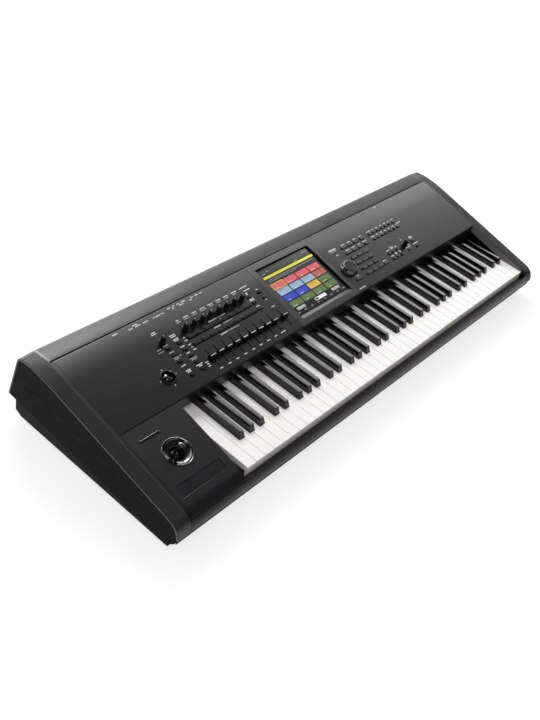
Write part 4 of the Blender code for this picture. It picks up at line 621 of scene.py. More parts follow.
@cache
def lit(name, code, strength):
    # Back-lit liquid crystal or a lamp: its own light, seen under glass. The unlit diode lenses use it too, and their
    # grey glow is painted light.
    material, tree, shader, spot = new_finish(name, linear("#050505"), 0.12, {"Emission Color": linear(code),
                                                                              "Emission Strength": strength})
    grain(tree, shader, spot, 6, 0.001, 0.14, 0.1)
    return material


@cache
def stained_wood():
    # Ash, planed and stained black: cathedral figure along the board, open pores and almost no shine.
    colours = settings("colours")
    material, tree, shader, spot = new_finish("Black stained ash", colours.wood, 0.6, {"Specular IOR Level": 0.06})
    # The heart of the trunk runs 22 mm behind the face at mid length, and leans 5 degrees out along the board
    part = add_node(tree, "ShaderNodeSeparateXYZ", {0: spot}).outputs
    behind = add_node(tree, "ShaderNodeMath", {0: part[1], 1: 0.09, 2: 22 * MM}, operation="MULTIPLY_ADD")
    above = add_node(tree, "ShaderNodeMath", {0: part[1], 1: -0.1, 2: -72 * MM}, operation="MULTIPLY_ADD")
    height = add_node(tree, "ShaderNodeMath", {0: part[2], 1: above.outputs[0]}, operation="ADD")
    heart = add_node(tree, "ShaderNodeCombineXYZ", {0: behind.outputs[0], 2: height.outputs[0]})
    # Growth rings 4.5 mm apart: the wave repeats every 2 pi / 20 of its scale
    rings = add_node(tree, "ShaderNodeTexWave", {"Vector": heart.outputs[0], "Scale": pi / 10 / (4.5 * MM),
                                                 "Distortion": 1.6, "Detail": 2.0, "Detail Scale": 0.6},
                     wave_type="RINGS", rings_direction="Y")
    along = add_node(tree, "ShaderNodeMapping", {"Vector": spot, "Scale": (1.0, 0.07, 1.0)}).outputs[0]
    bend = add_node(tree, "ShaderNodeTexNoise", {"Vector": along, "Scale": 1 / (12 * MM), "Detail": 2.0})
    # The real pores are 0.3 mm wide, drawn 0.9 mm wide and 13 mm long so that they show
    pores = add_node(tree, "ShaderNodeTexNoise", {"Vector": along, "Scale": 1 / (0.9 * MM), "Detail": 2.0})
    figure = add_node(tree, "ShaderNodeMath", {0: rings.outputs[1], 1: bend.outputs[0]}, operation="MULTIPLY")
    mix = add_node(tree, "ShaderNodeMix", {0: figure.outputs[0], 6: colours.wood, 7: colours.wood_light},
                   data_type="RGBA")
    relief = add_node(tree, "ShaderNodeMath", {0: pores.outputs[0], 1: figure.outputs[0]}, operation="ADD")
    bump = add_node(tree, "ShaderNodeBump", {"Height": relief.outputs[0], "Distance": 0.04 * MM, "Strength": 0.5})
    rough = add_node(tree, "ShaderNodeMapRange", {0: pores.outputs[0], "To Min": 0.7, "To Max": 0.52})
    tree.links.new(mix.outputs[2], shader.inputs["Base Color"])
    tree.links.new(bump.outputs[0], shader.inputs["Normal"])
    tree.links.new(rough.outputs[0], shader.inputs["Roughness"])
    return material


@cache
def glass_epoxy():
    # Glass epoxy board under green solder mask: the copper tracks show as lighter lines.
    mask = linear("#1c4a2c")
    material, tree, shader, spot = new_finish("Green solder mask on glass epoxy", mask, 0.35)
    tracks = add_node(tree, "ShaderNodeTexBrick", {"Vector": spot, "Scale": 1 / (16 * MM), "Mortar Size": 0.03,
                                                   "Color1": mask, "Color2": linear("#1f5232"),
                                                   "Mortar": linear("#3a7a4a")})
    bump = add_node(tree, "ShaderNodeBump", {"Height": tracks.outputs[1], "Distance": 0.03 * MM, "Strength": 0.4})
    tree.links.new(tracks.outputs[0], shader.inputs["Base Color"])
    tree.links.new(bump.outputs[0], shader.inputs["Normal"])
    return material


# ---------------------------------------------------------------- the case


class WORKSTATION_OT_chassis(Operator):
    """Folded steel tray with its rounded bends, and the screws that hold it"""

    bl_idname = "workstation.chassis"
    bl_label = "Chassis"

    def execute(self, context):
        def walls(inset, floor, front_top, rear_top):
            return [(CHASSIS_FRONT_Y + inset, front_top), (CHASSIS_FRONT_Y + inset, BOTTOM_Z + LOWER_NOSE_RISE),
                    (CHEEK_TOE[0] + inset, floor), (CHASSIS_REAR_Y - LOWER_NOSE_RADIUS - inset, floor),
                    (CHASSIS_REAR_Y - inset, floor + LOWER_NOSE_RADIUS / 2), (CHASSIS_REAR_Y - inset, rear_top)]
        outline = rounded(walls(0, BOTTOM_Z, CHASSIS_FRONT_TOP_Z, CHASSIS_REAR_TOP_Z), CHASSIS_BENDS, 6)
        outline.append((CHASSIS_REAR_Y - CHASSIS_WALL, CHASSIS_REAR_TOP_Z))
        pocket = walls(CHASSIS_WALL, BOTTOM_Z + CHASSIS_FLOOR, KEY_TOP_Z, KEY_TOP_Z)
        half, outer = HALF_LENGTH - CHASSIS_INSET, HALF_LENGTH + CHASSIS_INSET
        inner = CHEEK_INNER_X - TOUCH_GAP
        front = CHASSIS_FRONT_Y + CHASSIS_WALL

        def hem(y):
            share = (y - CHEEK_TOE[0]) / (REAR_Y - CHEEK_TOE[0])
            return CHEEK_TOE[1] + share * (CHEEK_HEEL_Z - CHEEK_TOE[1]) - TOUCH_GAP
        above = [(front, hem(front)), (REAR_Y, hem(REAR_Y)), (REAR_Y, KEY_TOP_Z), (front, KEY_TOP_Z)]
        tray = carve(prism(outline, -half, half, SIDE),
                     [prism(pocket, CHASSIS_WALL - inner, inner - CHASSIS_WALL, SIDE)])
        tray = carve(tray, [prism(above, -outer, -inner, SIDE), prism(above, inner, outer, SIDE)])
        add_piece("steel_tray", soften(tray, 0.4 * MM), "powder_coat", "case", ["bottom_chassis"])
        # The feet take the places of the screws at the corners
        places = [(x, y) for x in TRAY_SCREW_XS for y in TRAY_SCREW_YS if (abs(x), abs(y)) != (540, 150)]
        heads = [turned(TRAY_SCREW, 20, Matrix.Translation((x * MM, y * MM, BOTTOM_Z)) @ Matrix.Rotation(pi, 4, "X"))
                 for x, y in places]
        add_piece("tray_screws", together(heads), "black_zinc", "case")
        return {"FINISHED"}


class WORKSTATION_OT_cheeks(Operator):
    """Black stained wooden end panels"""

    bl_idname = "workstation.cheeks"
    bl_label = "Wooden cheeks"

    def execute(self, context):
        lip = CHASSIS_FRONT_Y + CHASSIS_WALL + TOUCH_GAP
        outline = upper_outline(-TRIM_EDGE_DROP, TRIM_THICKNESS + TOUCH_GAP)
        for name, side in (("left", -1), ("right", 1)):
            low, high = sorted((side * CHEEK_INNER_X, side * HALF_LENGTH))
            notch = block((low / MM - THROUGH, FRONT_Y / MM - THROUGH, 0),
                          (high / MM + THROUGH, lip / MM, RAIL_BOTTOM_Z / MM))
            board = carve(prism(outline, low, high, SIDE), [notch])
            add_piece(f"{name}_cheek", soften(board, settings("case").wood_edge, 3), stained_wood(), "case",
                      [f"{name}_side_panel"])
        return {"FINISHED"}


def across_ribs(ribs, depth):
    """Share of the way from the outer to the inner edge, and dip, for each point over a trim's ribs."""
    points = [(0.0, 1.4 * MM), (0.008, 0.5 * MM), (0.03, 0.0)]
    for rib in range(ribs):
        for share, dip in ((0.0, 1.0), (0.12, 0.75), (0.3, 0.12), (0.5, 0.0), (0.7, 0.12), (0.88, 0.75)):
            across = 0.04 + 0.84 * (rib + share) / ribs
            points.append((across, dip * depth))
    # A last fine rib, then a plain land beside the panel
    return points + [(0.88, depth), (0.893, 0.1 * MM), (0.9, 0.0), (0.908, 0.15 * MM), (0.922, 0.5 * MM),
                     (0.985, 0.5 * MM), (1.0, 0.9 * MM)]


class WORKSTATION_OT_side_trims(Operator):
    """Trims over the cheeks, with ribs that follow the case from the rear to the nose"""

    bl_idname = "workstation.side_trims"
    bl_label = "Side trims"

    def execute(self, context):
        case = settings("case")
        outer, outer_under, inner, inner_under = (
            [Vector(point) for point in case_line(inset, rise, over=RAIL_BOTTOM_Z)]
            for rise in (-TRIM_EDGE_DROP, TOUCH_GAP) for inset in (0.0, TRIM_THICKNESS))
        profile = across_ribs(case.ribs, case.rib_depth)
        for name, side in (("left", -1), ("right", 1)):
            rings = []
            for i, (a, b) in enumerate(zip(outer, inner)):
                step = outer[min(i + 1, len(outer) - 1)] - outer[max(i - 1, 0)]
                normal = Vector((step.y, -step.x)).normalized()
                ring = []
                for share, dip in profile:
                    y, z = a.lerp(b, share) - normal * dip
                    ring.append((side * (HALF_LENGTH + (GROOVE_X - HALF_LENGTH) * share), y, z))
                ring.append((side * GROOVE_X, *inner_under[i]))
                ring.append((side * HALF_LENGTH, *outer_under[i]))
                rings.append(ring)
            add_piece(f"{name}_ribbed_trim", loft(rings), "trim_plastic", "case",
                      [f"{name}_side_trim"], smooth=radians(42))
            # The flange of the panel, which closes the gap to the trim just under the surface
            top, under = (case_line(inset, over=BLOCK_NOSE_Z, before=REAR_GAP_Y) for inset in (0.5 * MM, 2 * MM))
            low, high = sorted((side * (PANEL_END_X + TOUCH_GAP), side * (GROOVE_X - 0.7 * MM)))
            flange = soften(prism(top + under[::-1], low, high, SIDE), 0.3 * MM, 2, radians(50))
            add_piece(f"{name}_panel_flange", flange, "block_plastic", "case")
        return {"FINISHED"}


class WORKSTATION_OT_rear_trim(Operator):
    """Trim along the rear, with short ribs across it behind the panel"""

    bl_idname = "workstation.rear_trim"
    bl_label = "Rear trim"

    def execute(self, context):
        case = settings("case")
        depth = case.cross_rib_height
        low = slope_z(REAR_GAP_Y) - REAR_TRIM_SKIRT
        top, under = (case_line(inset, behind=REAR_GAP_Y + REAR_TRIM_GAP, over=low)
                      for inset in (0.0, TRIM_THICKNESS))
        top = [Vector(point) for point in top][::-1]
        fine = []
        for a, b in zip(top, top[1:]):
            parts = max(1, int((b - a).length / (2.5 * MM)))
            fine += [a.lerp(b, k / parts) for k in range(parts)]
        fine.append(top[-1])
        # The ribs start behind the trim's rounded front edge, and run out before the case turns down
        start = REAR_GAP_Y + REAR_TRIM_GAP + 2.2 * MM
        end = REAR_GAP_Y + (REAR_Y - 23 * MM - REAR_GAP_Y) * case.cross_rib_share + 10 * MM
        body, bars = [], []
        for i, point in enumerate(fine):
            step = fine[min(i + 1, len(fine) - 1)] - fine[max(i - 1, 0)]
            normal = Vector((-step.y, step.x)).normalized()
            ribbed = start < point.x < end and normal.y > 0.5
            body.append(tuple(point - normal * depth if ribbed else point))
            if ribbed:
                bars.append((point, normal))
        half = GROOVE_X - TOUCH_GAP
        trim = prism(body + under, -half, half, SIDE)
        # The upper front edge, which the gap behind the panels shows
        front = max(trim.verts, key=lambda vert: vert.co.z - 10 * vert.co.y - vert.co.x).co
        trim = soften(trim, 0.8 * MM, 3, radians(40), lambda edge: all(
            abs(vert.co.y - front.y) + abs(vert.co.z - front.z) < 0.1 * MM for vert in edge.verts))
        add_piece("rear_rounded_trim", trim, "trim_plastic", "case", ["rear_trim"])
        count = int(2 * (half - 4 * MM) / case.cross_rib_pitch)
        wide = case.cross_rib_pitch * 0.275
        shapes = []
        for k in range(count + 1):
            x = (k - count / 2) * case.cross_rib_pitch
            rings = []
            for point, normal in bars:
                low_y, low_z = point - normal * depth * 1.3
                high_y, high_z = point
                rings.append([(x - wide, low_y, low_z), (x - wide * 0.7, high_y, high_z),
                              (x + wide * 0.7, high_y, high_z), (x + wide, low_y, low_z)])
            shapes.append(loft(rings))
        add_piece("rear_trim_ribs", together(shapes), "trim_plastic", "case")
        return {"FINISHED"}


def panel_outline(inset=0.0, drop=0.0):
    """Side view of a control panel shell: fascia, slope, roll to the rear gap."""
    gap_y = REAR_GAP_Y - inset
    front = PANEL_EDGE_Y + inset
    top = case_line(inset, before=gap_y, behind=front)
    if not inset:
        top = rounded([(gap_y, top[0][1] - FASCIA_HEIGHT), *top[:2]], [settings("case").lip], 4)[1:-1] + top[1:]
    radius = FASCIA_RADIUS - inset
    hem = PANEL_EDGE_Z - FASCIA_HEIGHT - drop
    bend = rounded([top[-2], top[-1], (front, hem)], [radius], 5)[1:-1] if radius > 0 else [top[-1]]
    return top[:-1] + bend + [(front, hem), (gap_y, slope_z(gap_y) - PANEL_SKIRT - inset - drop)]


def panel_shell(low, high, sheet, walls):
    """A panel shell open underneath, with a wall at each closed end."""
    inner_low = low + sheet if walls[0] else low - sheet
    inner_high = high - sheet if walls[1] else high + sheet
    return carve(prism(panel_outline(), low, high, SIDE),
                 [prism(panel_outline(sheet, PANEL_SKIRT), inner_low, inner_high, SIDE)])


def left_buttons():
    """Small buttons around the mixer section, and two rows of long switches under the knobs."""
    places = [(-380, UPPER_ROW - k * ROW_STEP) for k in (0, 1, 2, 4)]
    places += [(-353, UPPER_ROW - k * ROW_STEP) for k in range(5)]
    places += [(-151, UPPER_ROW + k * ROW_STEP) for k in (-1, 0, 1)]
    places += [(-121, UPPER_ROW + k * ROW_STEP) for k in (0, 1)]
    rows = (UPPER_ROW, UPPER_ROW - ROW_STEP)
    return [(x, row, SMALL) for x, row in places] + [(FIRST_SLIDER_X + i * SLIDER_PITCH, row, LONG)
                                                     for row in rows for i in range(8)]


def right_buttons():
    """Mode, keypad, exit and bank buttons right of the screen."""
    modes = (UPPER_ROW, UPPER_ROW + ROW_STEP)
    places = [(LAST_MODE_X, row, LAST_MODE) for row in modes]
    places += [(KEYPAD_X + i * SLIDER_PITCH, row, KEYPAD) for row in modes for i in range(3)]
    places += [(KEYPAD_X + i * SLIDER_PITCH, KEYPAD_ROW + row * ROW_STEP, KEYPAD)
               for row in range(4) for i in range(4 if row == 0 else 3)]
    places.append((DIAL[0], KEYPAD_ROW, KEYPAD))
    return places + [(BANK_X + i * BANK_PITCH, UPPER_ROW + row * ROW_STEP, BANK) for row in (0, 1) for i in range(7)]


def transport_buttons():
    """Sequencer transport and tempo buttons."""
    columns = {0: (0, 1, 2, 4, 6), 1: (0, 1, 2, 6)}
    return [(TRANSPORT_X + i * BANK_PITCH, TRANSPORT_ROW + row * ROW_STEP, BANK)
            for row, places in columns.items() for i in places]


def button_hole(x, along, size, room=BUTTON_ROOM):
    half_x, half_y = size[0] / 2 + room, size[1] / 2 + room
    return block((x - half_x, along - half_y, -PANEL_SKIRT / MM), (x + half_x, along + half_y, THROUGH),
                 slope_frame())


def button_holes(buttons):
    """One hole for each run of buttons that stand side by side, or for a lone button."""
    runs = []
    for x, along, size in sorted(buttons, key=lambda b: (b[1], b[0])):
        if runs and runs[-1][1] == along and x - size[0] / 2 - runs[-1][3] < 2 * BUTTON_ROOM:
            runs[-1][3] = x + size[0] / 2
        else:
            runs.append([x - size[0] / 2, along, size[1], x + size[0] / 2])
    return [button_hole((left + right) / 2, along, (right - left, deep)) for left, along, deep, right in runs]


def pin(radius, low, high, axes, sides=32):
    return turned([(radius, low), (radius, high)], sides, axes)


class WORKSTATION_OT_panels(Operator):
    """Left and right control panels, with their holes and the arm beside the last key"""

    bl_idname = "workstation.panels"
    bl_label = "Control panels"

    def execute(self, context):
        edge = settings("case").edge
        deep = -PANEL_SKIRT / MM
        sets = (("left", -PANEL_END_X, DISPLAY_LEFT - SEAM / 2, (True, False), left_buttons()),
                ("right", DISPLAY_RIGHT + SEAM / 2, PANEL_END_X, (False, True),
                 right_buttons() + transport_buttons()))
        for name, low, high, walls, buttons in sets:
            shell = panel_shell(low, high, PANEL_SHEET, walls)
            if name == "left":
                shell = carve(shell, [pin(VECTOR_BOSS, -12, 1.6, panel_frame(*VECTOR), 64)], "UNION")
            else:
                heel = RAIL_REAR_Y + TOUCH_GAP
                outline = case_line(before=ARM_BACK_Y, over=BLOCK_NOSE_Z)
                outline += [(heel, BLOCK_NOSE_Z), (heel, slope_z(heel) - ARM_DEPTH),
                            (ARM_BACK_Y, slope_z(ARM_BACK_Y) - ARM_DEPTH)]
                shell = carve(shell, [prism(outline, PANEL_END_X - ARM_WALL, PANEL_END_X, SIDE)], "UNION")
                # A strip of painted light over the top of the arm's inner wall, where the dark wall catches light
                upper, lower = (case_line(inset, before=ARM_BACK_Y, over=KEY_TOP_Z + 0.5 * MM)
                                for inset in (TOUCH_GAP, PAINTED_LIGHT_DEPTH))
                face = PANEL_END_X - ARM_WALL
                strip = prism(upper + lower[::-1], face - 0.25 * MM, face + 0.05 * MM, SIDE)
                add_piece("treble_arm_lining", soften(strip, 0.1 * MM, 1), "arm_painted_light", "case")
            within = [x for x in SLIDER_XS if low < x * MM < high]
            holes = [button_hole(x, SLOT_MIDDLE, SLOT_SIZE, 0) for x in within]
            shafts = [place for place in [*KNOBS.values(), DIAL] if low < place[0] * MM < high]
            holes += [pin(SHAFT_RADIUS + BUTTON_ROOM, deep, THROUGH, panel_frame(*place)) for place in shafts]
            if name == "left":
                holes.append(pin(VECTOR_HOLE, deep, THROUGH, panel_frame(*VECTOR), 64))
            shell = carve(shell, holes + button_holes(buttons))
            add_piece(f"{name}_panel_shell", soften(shell, edge * 0.5, 2, radians(40)), "panel_paint", "case",
                      [f"{name}_control_panel"])
        return {"FINISHED"}


class WORKSTATION_OT_display(Operator):
    """Display module with its sloping rim, the glass and a generic picture of coloured pads"""

    bl_idname = "workstation.display"
    bl_label = "Display"

    def execute(self, context):
        edge = settings("case").edge
        shell = panel_shell(DISPLAY_LEFT + SEAM / 2, DISPLAY_RIGHT - SEAM / 2, DISPLAY_SHEET, (False, False))
        front, back = WINDOW_FRONT, WINDOW_FRONT + WINDOW_DEPTH
        section = [(front, 3 * MM), (front, 0), (front + WINDOW_CHAMFER, -DISPLAY_SHEET),
                   (front + WINDOW_CHAMFER, -PANEL_SKIRT), (back, -PANEL_SKIRT), (back, 3 * MM)]
        shell = carve(shell, [prism(section, WINDOW_LEFT, WINDOW_LEFT + WINDOW_WIDTH, slope_frame() @ SIDE)])
        add_piece("display_surround", soften(shell, edge * 1.6, 3, radians(20)), "bezel_plastic", "case",
                  ["display_bezel"])
        seat = (slope_frame(WINDOW_LEFT, front, -DISPLAY_SHEET - TOUCH_GAP) @ Matrix.Rotation(-GLASS_TILT, 4, "X"))
        margin = GLASS_MARGIN / MM
        glass = block((-margin, -margin, -GLASS_THICKNESS / MM),
                      (WINDOW_WIDTH / MM + margin, WINDOW_DEPTH / MM + margin, 0), seat)
        add_piece("screen_cover_glass", soften(glass, 0.3 * MM), "screen_glass", "case",
                  ["touch_screen"])

        def on_glass(x, along, lift):
            return seat @ Vector((x * MM - WINDOW_LEFT, along * MM - front, lift))
        for name, code, strength, level, places in screen_picture():
            add_piece(f"screen_{name}", patch(places, on_glass, (0.02 + 0.015 * level) * MM),
                      lit(f"Back-lit {name.replace('_', ' ')}", code, strength), "case")
        return {"FINISHED"}


def screen_picture():
    """Name, colour, light, layer and marks of each tint on the screen: bars, pads and strokes with no words."""
    pads = {}
    rows = (("coral", "coral", "coral", "coral"), ("sky", "sky", "sky", "brick"),
            ("blue", "blue", "amber", "green"), ("green", "green", "green", "green"))
    strokes, dim = [], []
    for row, tints in enumerate(rows):
        for column, tint in enumerate(tints):
            x, along = -62.2 + 37.7 * column, 105.4 - 17.25 * row
            pads.setdefault(tint, []).append((x, along, 34.8, 14.6))
            dim += [(x - 11 + 1.3 * k, along + 4.4 - 2.2 * line, 0.8, 1.0) for line in range(2) for k in range(13)]
            strokes += [(x - 6.5, along - 4.6, 13.0 if (row + column) % 2 else 7.5, 1.2)]
    header = [(-3, 143.6, 161, 10.4), (-3, 121.6, 161, 9.0)]
    tool_bar = [(-3, 32.2, 161, 8.2)]
    keys = [(-62.2, 40.0, 25, 6.6), (50.9, 40.0, 25, 6.6)]
    field = [(0, 39.5, 35, 7.4)]
    white_marks = [(-70 + 5.2 * k, 123.4, 3.2, 1.0) for k in range(27)]
    white_marks += [(-76 + 4.4 * k, 119.6, 2.6, 1.0) for k in range(20)]
    white_marks += [(-72, 140.6, 9, 1.0), (-58, 144.2, 5, 1.0), (60, 146.4, 8, 1.0), (70, 146.4, 5, 1.0)]
    white_marks += [(-78 + 21 * k, 31.6, 5 + 2 * (k % 2), 1.1) for k in range(8)]
    dark_marks = [(-76 + 5.6 * k, 131.2, 3.4 - (k % 3) * 0.6, 1.5) for k in range(19)]
    key_marks = [(start + 2.4 * k, 38.6, 0.7, 3.2) for start in (-73.5, 39.6) for k in range(10)]
    key_marks += [(-11.5, 39.5, 9.5, 5.0)]
    return [("backing", "#0b0c0f", 1.0, 0, [(-3, 88.2, 161.4, 122)]),
            ("header", "#25272b", 1.0, 1, header), ("tool_bar", "#1b1c1f", 1.0, 1, tool_bar),
            ("title_bar", "#e9e11c", 1.0, 1, [(-2.5, 131.2, 157, 5.6)]),
            ("title_marks", "#6d6a10", 1.0, 2, dark_marks),
            ("select_frame", "#b6d62a", 1.0, 1, [(-62.2, 105.4, 37.2, 17.0)]),
            ("coral_pads", "#d95a62", 1.0, 2, pads["coral"]), ("sky_pads", "#94b0cc", 1.0, 2, pads["sky"]),
            ("brick_pad", "#b85c50", 1.0, 2, pads["brick"]), ("blue_pads", "#3043c0", 1.0, 2, pads["blue"]),
            ("amber_pad", "#dcae3c", 1.0, 2, pads["amber"]), ("green_pads", "#59753e", 1.0, 2, pads["green"]),
            ("pad_strokes", "#e6e6e0", 0.8, 3, strokes), ("pad_texture", "#8f8f88", 0.6, 3, dim),
            ("small_keys", "#b9b9b9", 1.0, 2, keys), ("field", "#efeff6", 1.0, 2, field),
            ("key_marks", "#55555a", 1.0, 3, key_marks), ("marks", "#c9ccd0", 0.8, 3, white_marks),
            ("amber_mark", "#b98a22", 0.9, 3, [(26, 137.2, 9, 1.6)])]


def block_outline(inset=0.0, hem=0.0):
    """Side view of the key block: panel slope, nose, and an upright back to the front rail."""
    back = PANEL_EDGE_Y - SEAM - inset
    top = case_line(inset, before=back, over=BLOCK_NOSE_Z + inset)
    heel = RAIL_REAR_Y + TOUCH_GAP + inset
    low = BLOCK_HEM_Z - hem
    return top + [(heel, BLOCK_NOSE_Z + inset), (heel, low), (back, low)]


class WORKSTATION_OT_key_block(Operator):
    """Block left of the keys, with the openings for the joystick, the switches and the ribbon strip"""

    bl_idname = "workstation.key_block"
    bl_label = "Key block"

    def execute(self, context):
        case = settings("case")
        flank = BLOCK_RIGHT_X + BLOCK_FLANK
        inside = block_outline(BLOCK_WALL, KEY_TOP_Z)
        shell = carve(prism(block_outline(), -PANEL_END_X, flank, SIDE),
                      [prism(inside, BLOCK_WALL - PANEL_END_X, BLOCK_RIGHT_X - BLOCK_WALL, SIDE)])
        over = block((BLOCK_RIGHT_X / MM, FRONT_Y / MM, BLOCK_LEDGE_Z / MM),
                     (flank / MM + THROUGH, REAR_Y / MM, PANEL_EDGE_Z / MM + THROUGH))
        shell = carve(shell, [over])
        left, right, depth = SWITCH_SLOT
        x0, x1, s0, s1 = RIBBON
        openings = [pin(JOYSTICK_HOLE, -31, THROUGH, panel_frame(*JOYSTICK), 72),
                    block((left, SWITCH_ROW - depth / 2, -15), (right, SWITCH_ROW + depth / 2, THROUGH),
                          slope_frame()),
                    block((x0, s0, -RIBBON_RECESS), (x1, s1, THROUGH), slope_frame())]
        shell = carve(shell, openings)
        flat = slope_frame().inverted()

        def ribbon_front(line):
            spots = [flat @ vert.co for vert in line.verts]
            return all(abs(spot.y - s0 * MM) < 0.1 * MM and abs(spot.z) < 0.1 * MM for spot in spots)
        shell = soften(shell, case.lip, 4, radians(35), ribbon_front)
        add_piece("key_block_shell", soften(shell, case.edge * 0.7, 2, radians(35)), "block_plastic", "case",
                  ["left_key_block"])
        film = block((x0 + RIBBON_GAP, s0 + RIBBON_GAP, TOUCH_GAP / MM - RIBBON_RECESS),
                     (x1 - RIBBON_GAP, s1 - RIBBON_GAP, RIBBON_TOP - RIBBON_RECESS), slope_frame())
        add_piece("ribbon_film", soften(film, 0.25 * MM), "ribbon_film", "case", ["ribbon_strip"])
        return {"FINISHED"}


class WORKSTATION_OT_front_rail(Operator):
    """Black rail in front of the key lips"""

    bl_idname = "workstation.front_rail"
    bl_label = "Front rail"

    def execute(self, context):
        top = BLOCK_NOSE_Z - TOUCH_GAP
        outline = [point for point in case_line(under=top, over=RAIL_BOTTOM_Z) if point[0] < PANEL_EDGE_Y]
        outline += [(RAIL_REAR_Y, RAIL_BOTTOM_Z), (RAIL_REAR_Y, top - 7 * MM)]
        half = GROOVE_X - TOUCH_GAP
        rail = soften(prism(outline, -half, half, SIDE), 0.6 * MM, 3)
        add_piece("front_nose_rail", rail, "rail_plastic", "case", ["front_rail"])
        return {"FINISHED"}


# ---------------------------------------------------------------- keys


def black_key_places():
    """The X of the middle of every black key."""
    return [KEY_LEFT_X + KEY_PITCH * (middle + octave * KEYS_PER_OCTAVE)
            for octave in range(WHITE_KEYS // KEYS_PER_OCTAVE) for middle in BLACK_KEY_MIDDLES]


def white_key(index, blacks):
    """A white key: a plate notched for the black keys, with a lip folded down at its front."""
    left = KEY_LEFT_X + index * KEY_PITCH + KEY_GAP / 2
    right = left + KEY_PITCH - KEY_GAP
    room = BLACK_KEY_WIDTH / 2 + BLACK_KEY_ROOM
    notch = BLACK_KEY_FRONT_Y - BLACK_KEY_ROOM
    lip = KEY_FRONT_Y + KEY_LIP_DEPTH
    cut_left = next((x + room for x in blacks if left - room < x < left + room), None)
    cut_right = next((x - room for x in blacks if right - room < x < right + room), None)
    outline = [(left, KEY_FRONT_Y), (right, KEY_FRONT_Y), (right, lip)]
    outline += [(right, notch), (cut_right, notch), (cut_right, KEY_TAIL_Y)] if cut_right else [(right, KEY_TAIL_Y)]
    outline += [(cut_left, KEY_TAIL_Y), (cut_left, notch), (left, notch)] if cut_left else [(left, KEY_TAIL_Y)]
    outline.append((left, lip))
    shape = prism(outline, KEY_UNDERSIDE_Z, KEY_TOP_Z, Matrix())
    under = next(face for face in shape.faces if face.normal.z < -0.9)
    hinge = [vert for vert in under.verts if abs(vert.co.y - lip) < 0.01 * MM]
    strips = bmesh.utils.face_split(under, *hinge)
    strip = min((under, strips[0]), key=lambda face: face.calc_center_median().y)
    drop = KEY_LIP_HEIGHT - KEY_PLATE
    made = bmesh.ops.extrude_face_region(shape, geom=[strip])
    bmesh.ops.delete(shape, geom=[strip], context="FACES_ONLY")
    lowered = [item for item in made["geom"] if isinstance(item, bmesh.types.BMVert)]
    bmesh.ops.translate(shape, vec=(0, 0, -drop), verts=lowered)
    bmesh.ops.recalc_face_normals(shape, faces=shape.faces)
    return soften(shape, settings("keys").white_edge, 3)


def black_key(x):
    """A tapered black key with a crowned top and a sloping front."""
    sizes = settings("keys")
    top = KEY_TOP_Z + BLACK_KEY_RISE
    half, half_top = BLACK_KEY_WIDTH / 2, BLACK_KEY_TOP_WIDTH / 2
    rings = []
    for z, wide, lean in ((KEY_UNDERSIDE_Z, half, 0.0), (KEY_TOP_Z, half, 0.0), (top - 0.35 * MM, half_top, 1.0),
                          (top, half_top * 0.45, 1.0)):
        y = BLACK_KEY_FRONT_Y + sizes.black_slope * lean
        rings.append([(x - wide, y, z), (x + wide, y, z), (x + wide, BLACK_TAIL_Y, z), (x - wide, BLACK_TAIL_Y, z)])
    shape = loft(rings)
    return soften(shape, sizes.black_edge, 4, radians(30), lambda edge: max(v.co.z for v in edge.verts) > top - MM
                  and sum(v.co.y for v in edge.verts) / 2 < BLACK_TAIL_Y - MM)


class WORKSTATION_OT_white_keys(Operator):
    """Forty-three white keys"""

    bl_idname = "workstation.white_keys"
    bl_label = "White keys"

    def execute(self, context):
        blacks = black_key_places()
        for section, first, after in SECTIONS:
            body = f"white_keys_{section}"
            for index in range(first, after):
                add_piece(f"white_key_{index + 1:02d}", white_key(index, blacks), "white_key_acrylic", body,
                          [body])
        return {"FINISHED"}


class WORKSTATION_OT_black_keys(Operator):
    """Thirty black keys"""

    bl_idname = "workstation.black_keys"
    bl_label = "Black keys"

    def execute(self, context):
        for number, x in enumerate(black_key_places()):
            section = SECTIONS[min(number // 10, 2)][0]
            body = f"black_keys_{section}"
            add_piece(f"black_key_{number + 1:02d}", black_key(x), "black_key_abs", body, [body])
        return {"FINISHED"}


# ---------------------------------------------------------------- controls


class WORKSTATION_OT_knobs(Operator):
    """Fluted knobs with a printed pointer"""

    bl_idname = "workstation.knobs"
    bl_label = "Knobs"

    def execute(self, context):
        sizes = settings("controls")
        skirt, waist, tall = sizes.knob_skirt / MM, sizes.knob_waist / MM, sizes.knob_height / MM

        def flute(radius, height, angle):
            grip = FLUTE_FOOT < height < tall - 0.5 and radius > waist * 0.7
            return radius - (FLUTE_DEPTH * max(0.0, cos(sizes.flutes * angle)) if grip else 0.0)
        profile = [(3, -8), (3, 0.3), (skirt, 0.3), (skirt, 2.4), (skirt - 0.25, 2.9), (waist + 0.3, 3.3),
                   (waist, 4.2), (waist, tall - 2.2), (waist, tall - 0.9), (waist - 0.25, tall - 0.35),
                   (waist - 0.8, tall), (waist - 2.6, tall - 0.15)]
        for name, place in KNOBS.items():
            axes = panel_frame(*place)
            add_piece(f"{name}_cap", turned(profile, 72, axes, grip=flute), "knob_abs", name, [name])
            marks = together([block((-0.45, 1.2, tall - 0.1), (0.45, waist - 0.7, tall - 0.04), axes),
                              block((-0.45, waist - 0.5, tall - 5.5), (0.45, waist + 0.04, tall - 1.3), axes)])
            add_piece(f"{name}_pointer", marks, "printed_ink", name)
        return {"FINISHED"}


def slider_section(long, tall):
    """Side view of a fader cap: a foot, leaning flanks and a finger hollow each side of a middle ridge."""
    half = long / 2
    flank = [(half, 0.3), (half, CAP_FOOT), (half - 1.2, tall - 0.4), (half - 1.6, tall), (half - 2.1, tall - 0.1),
             (1.5, tall - 1.3), (0.9, tall - 1.35), (0.7, tall - 0.9)]
    return [(-half, 0.3)] + flank + [(-y, z) for y, z in flank[:0:-1]]


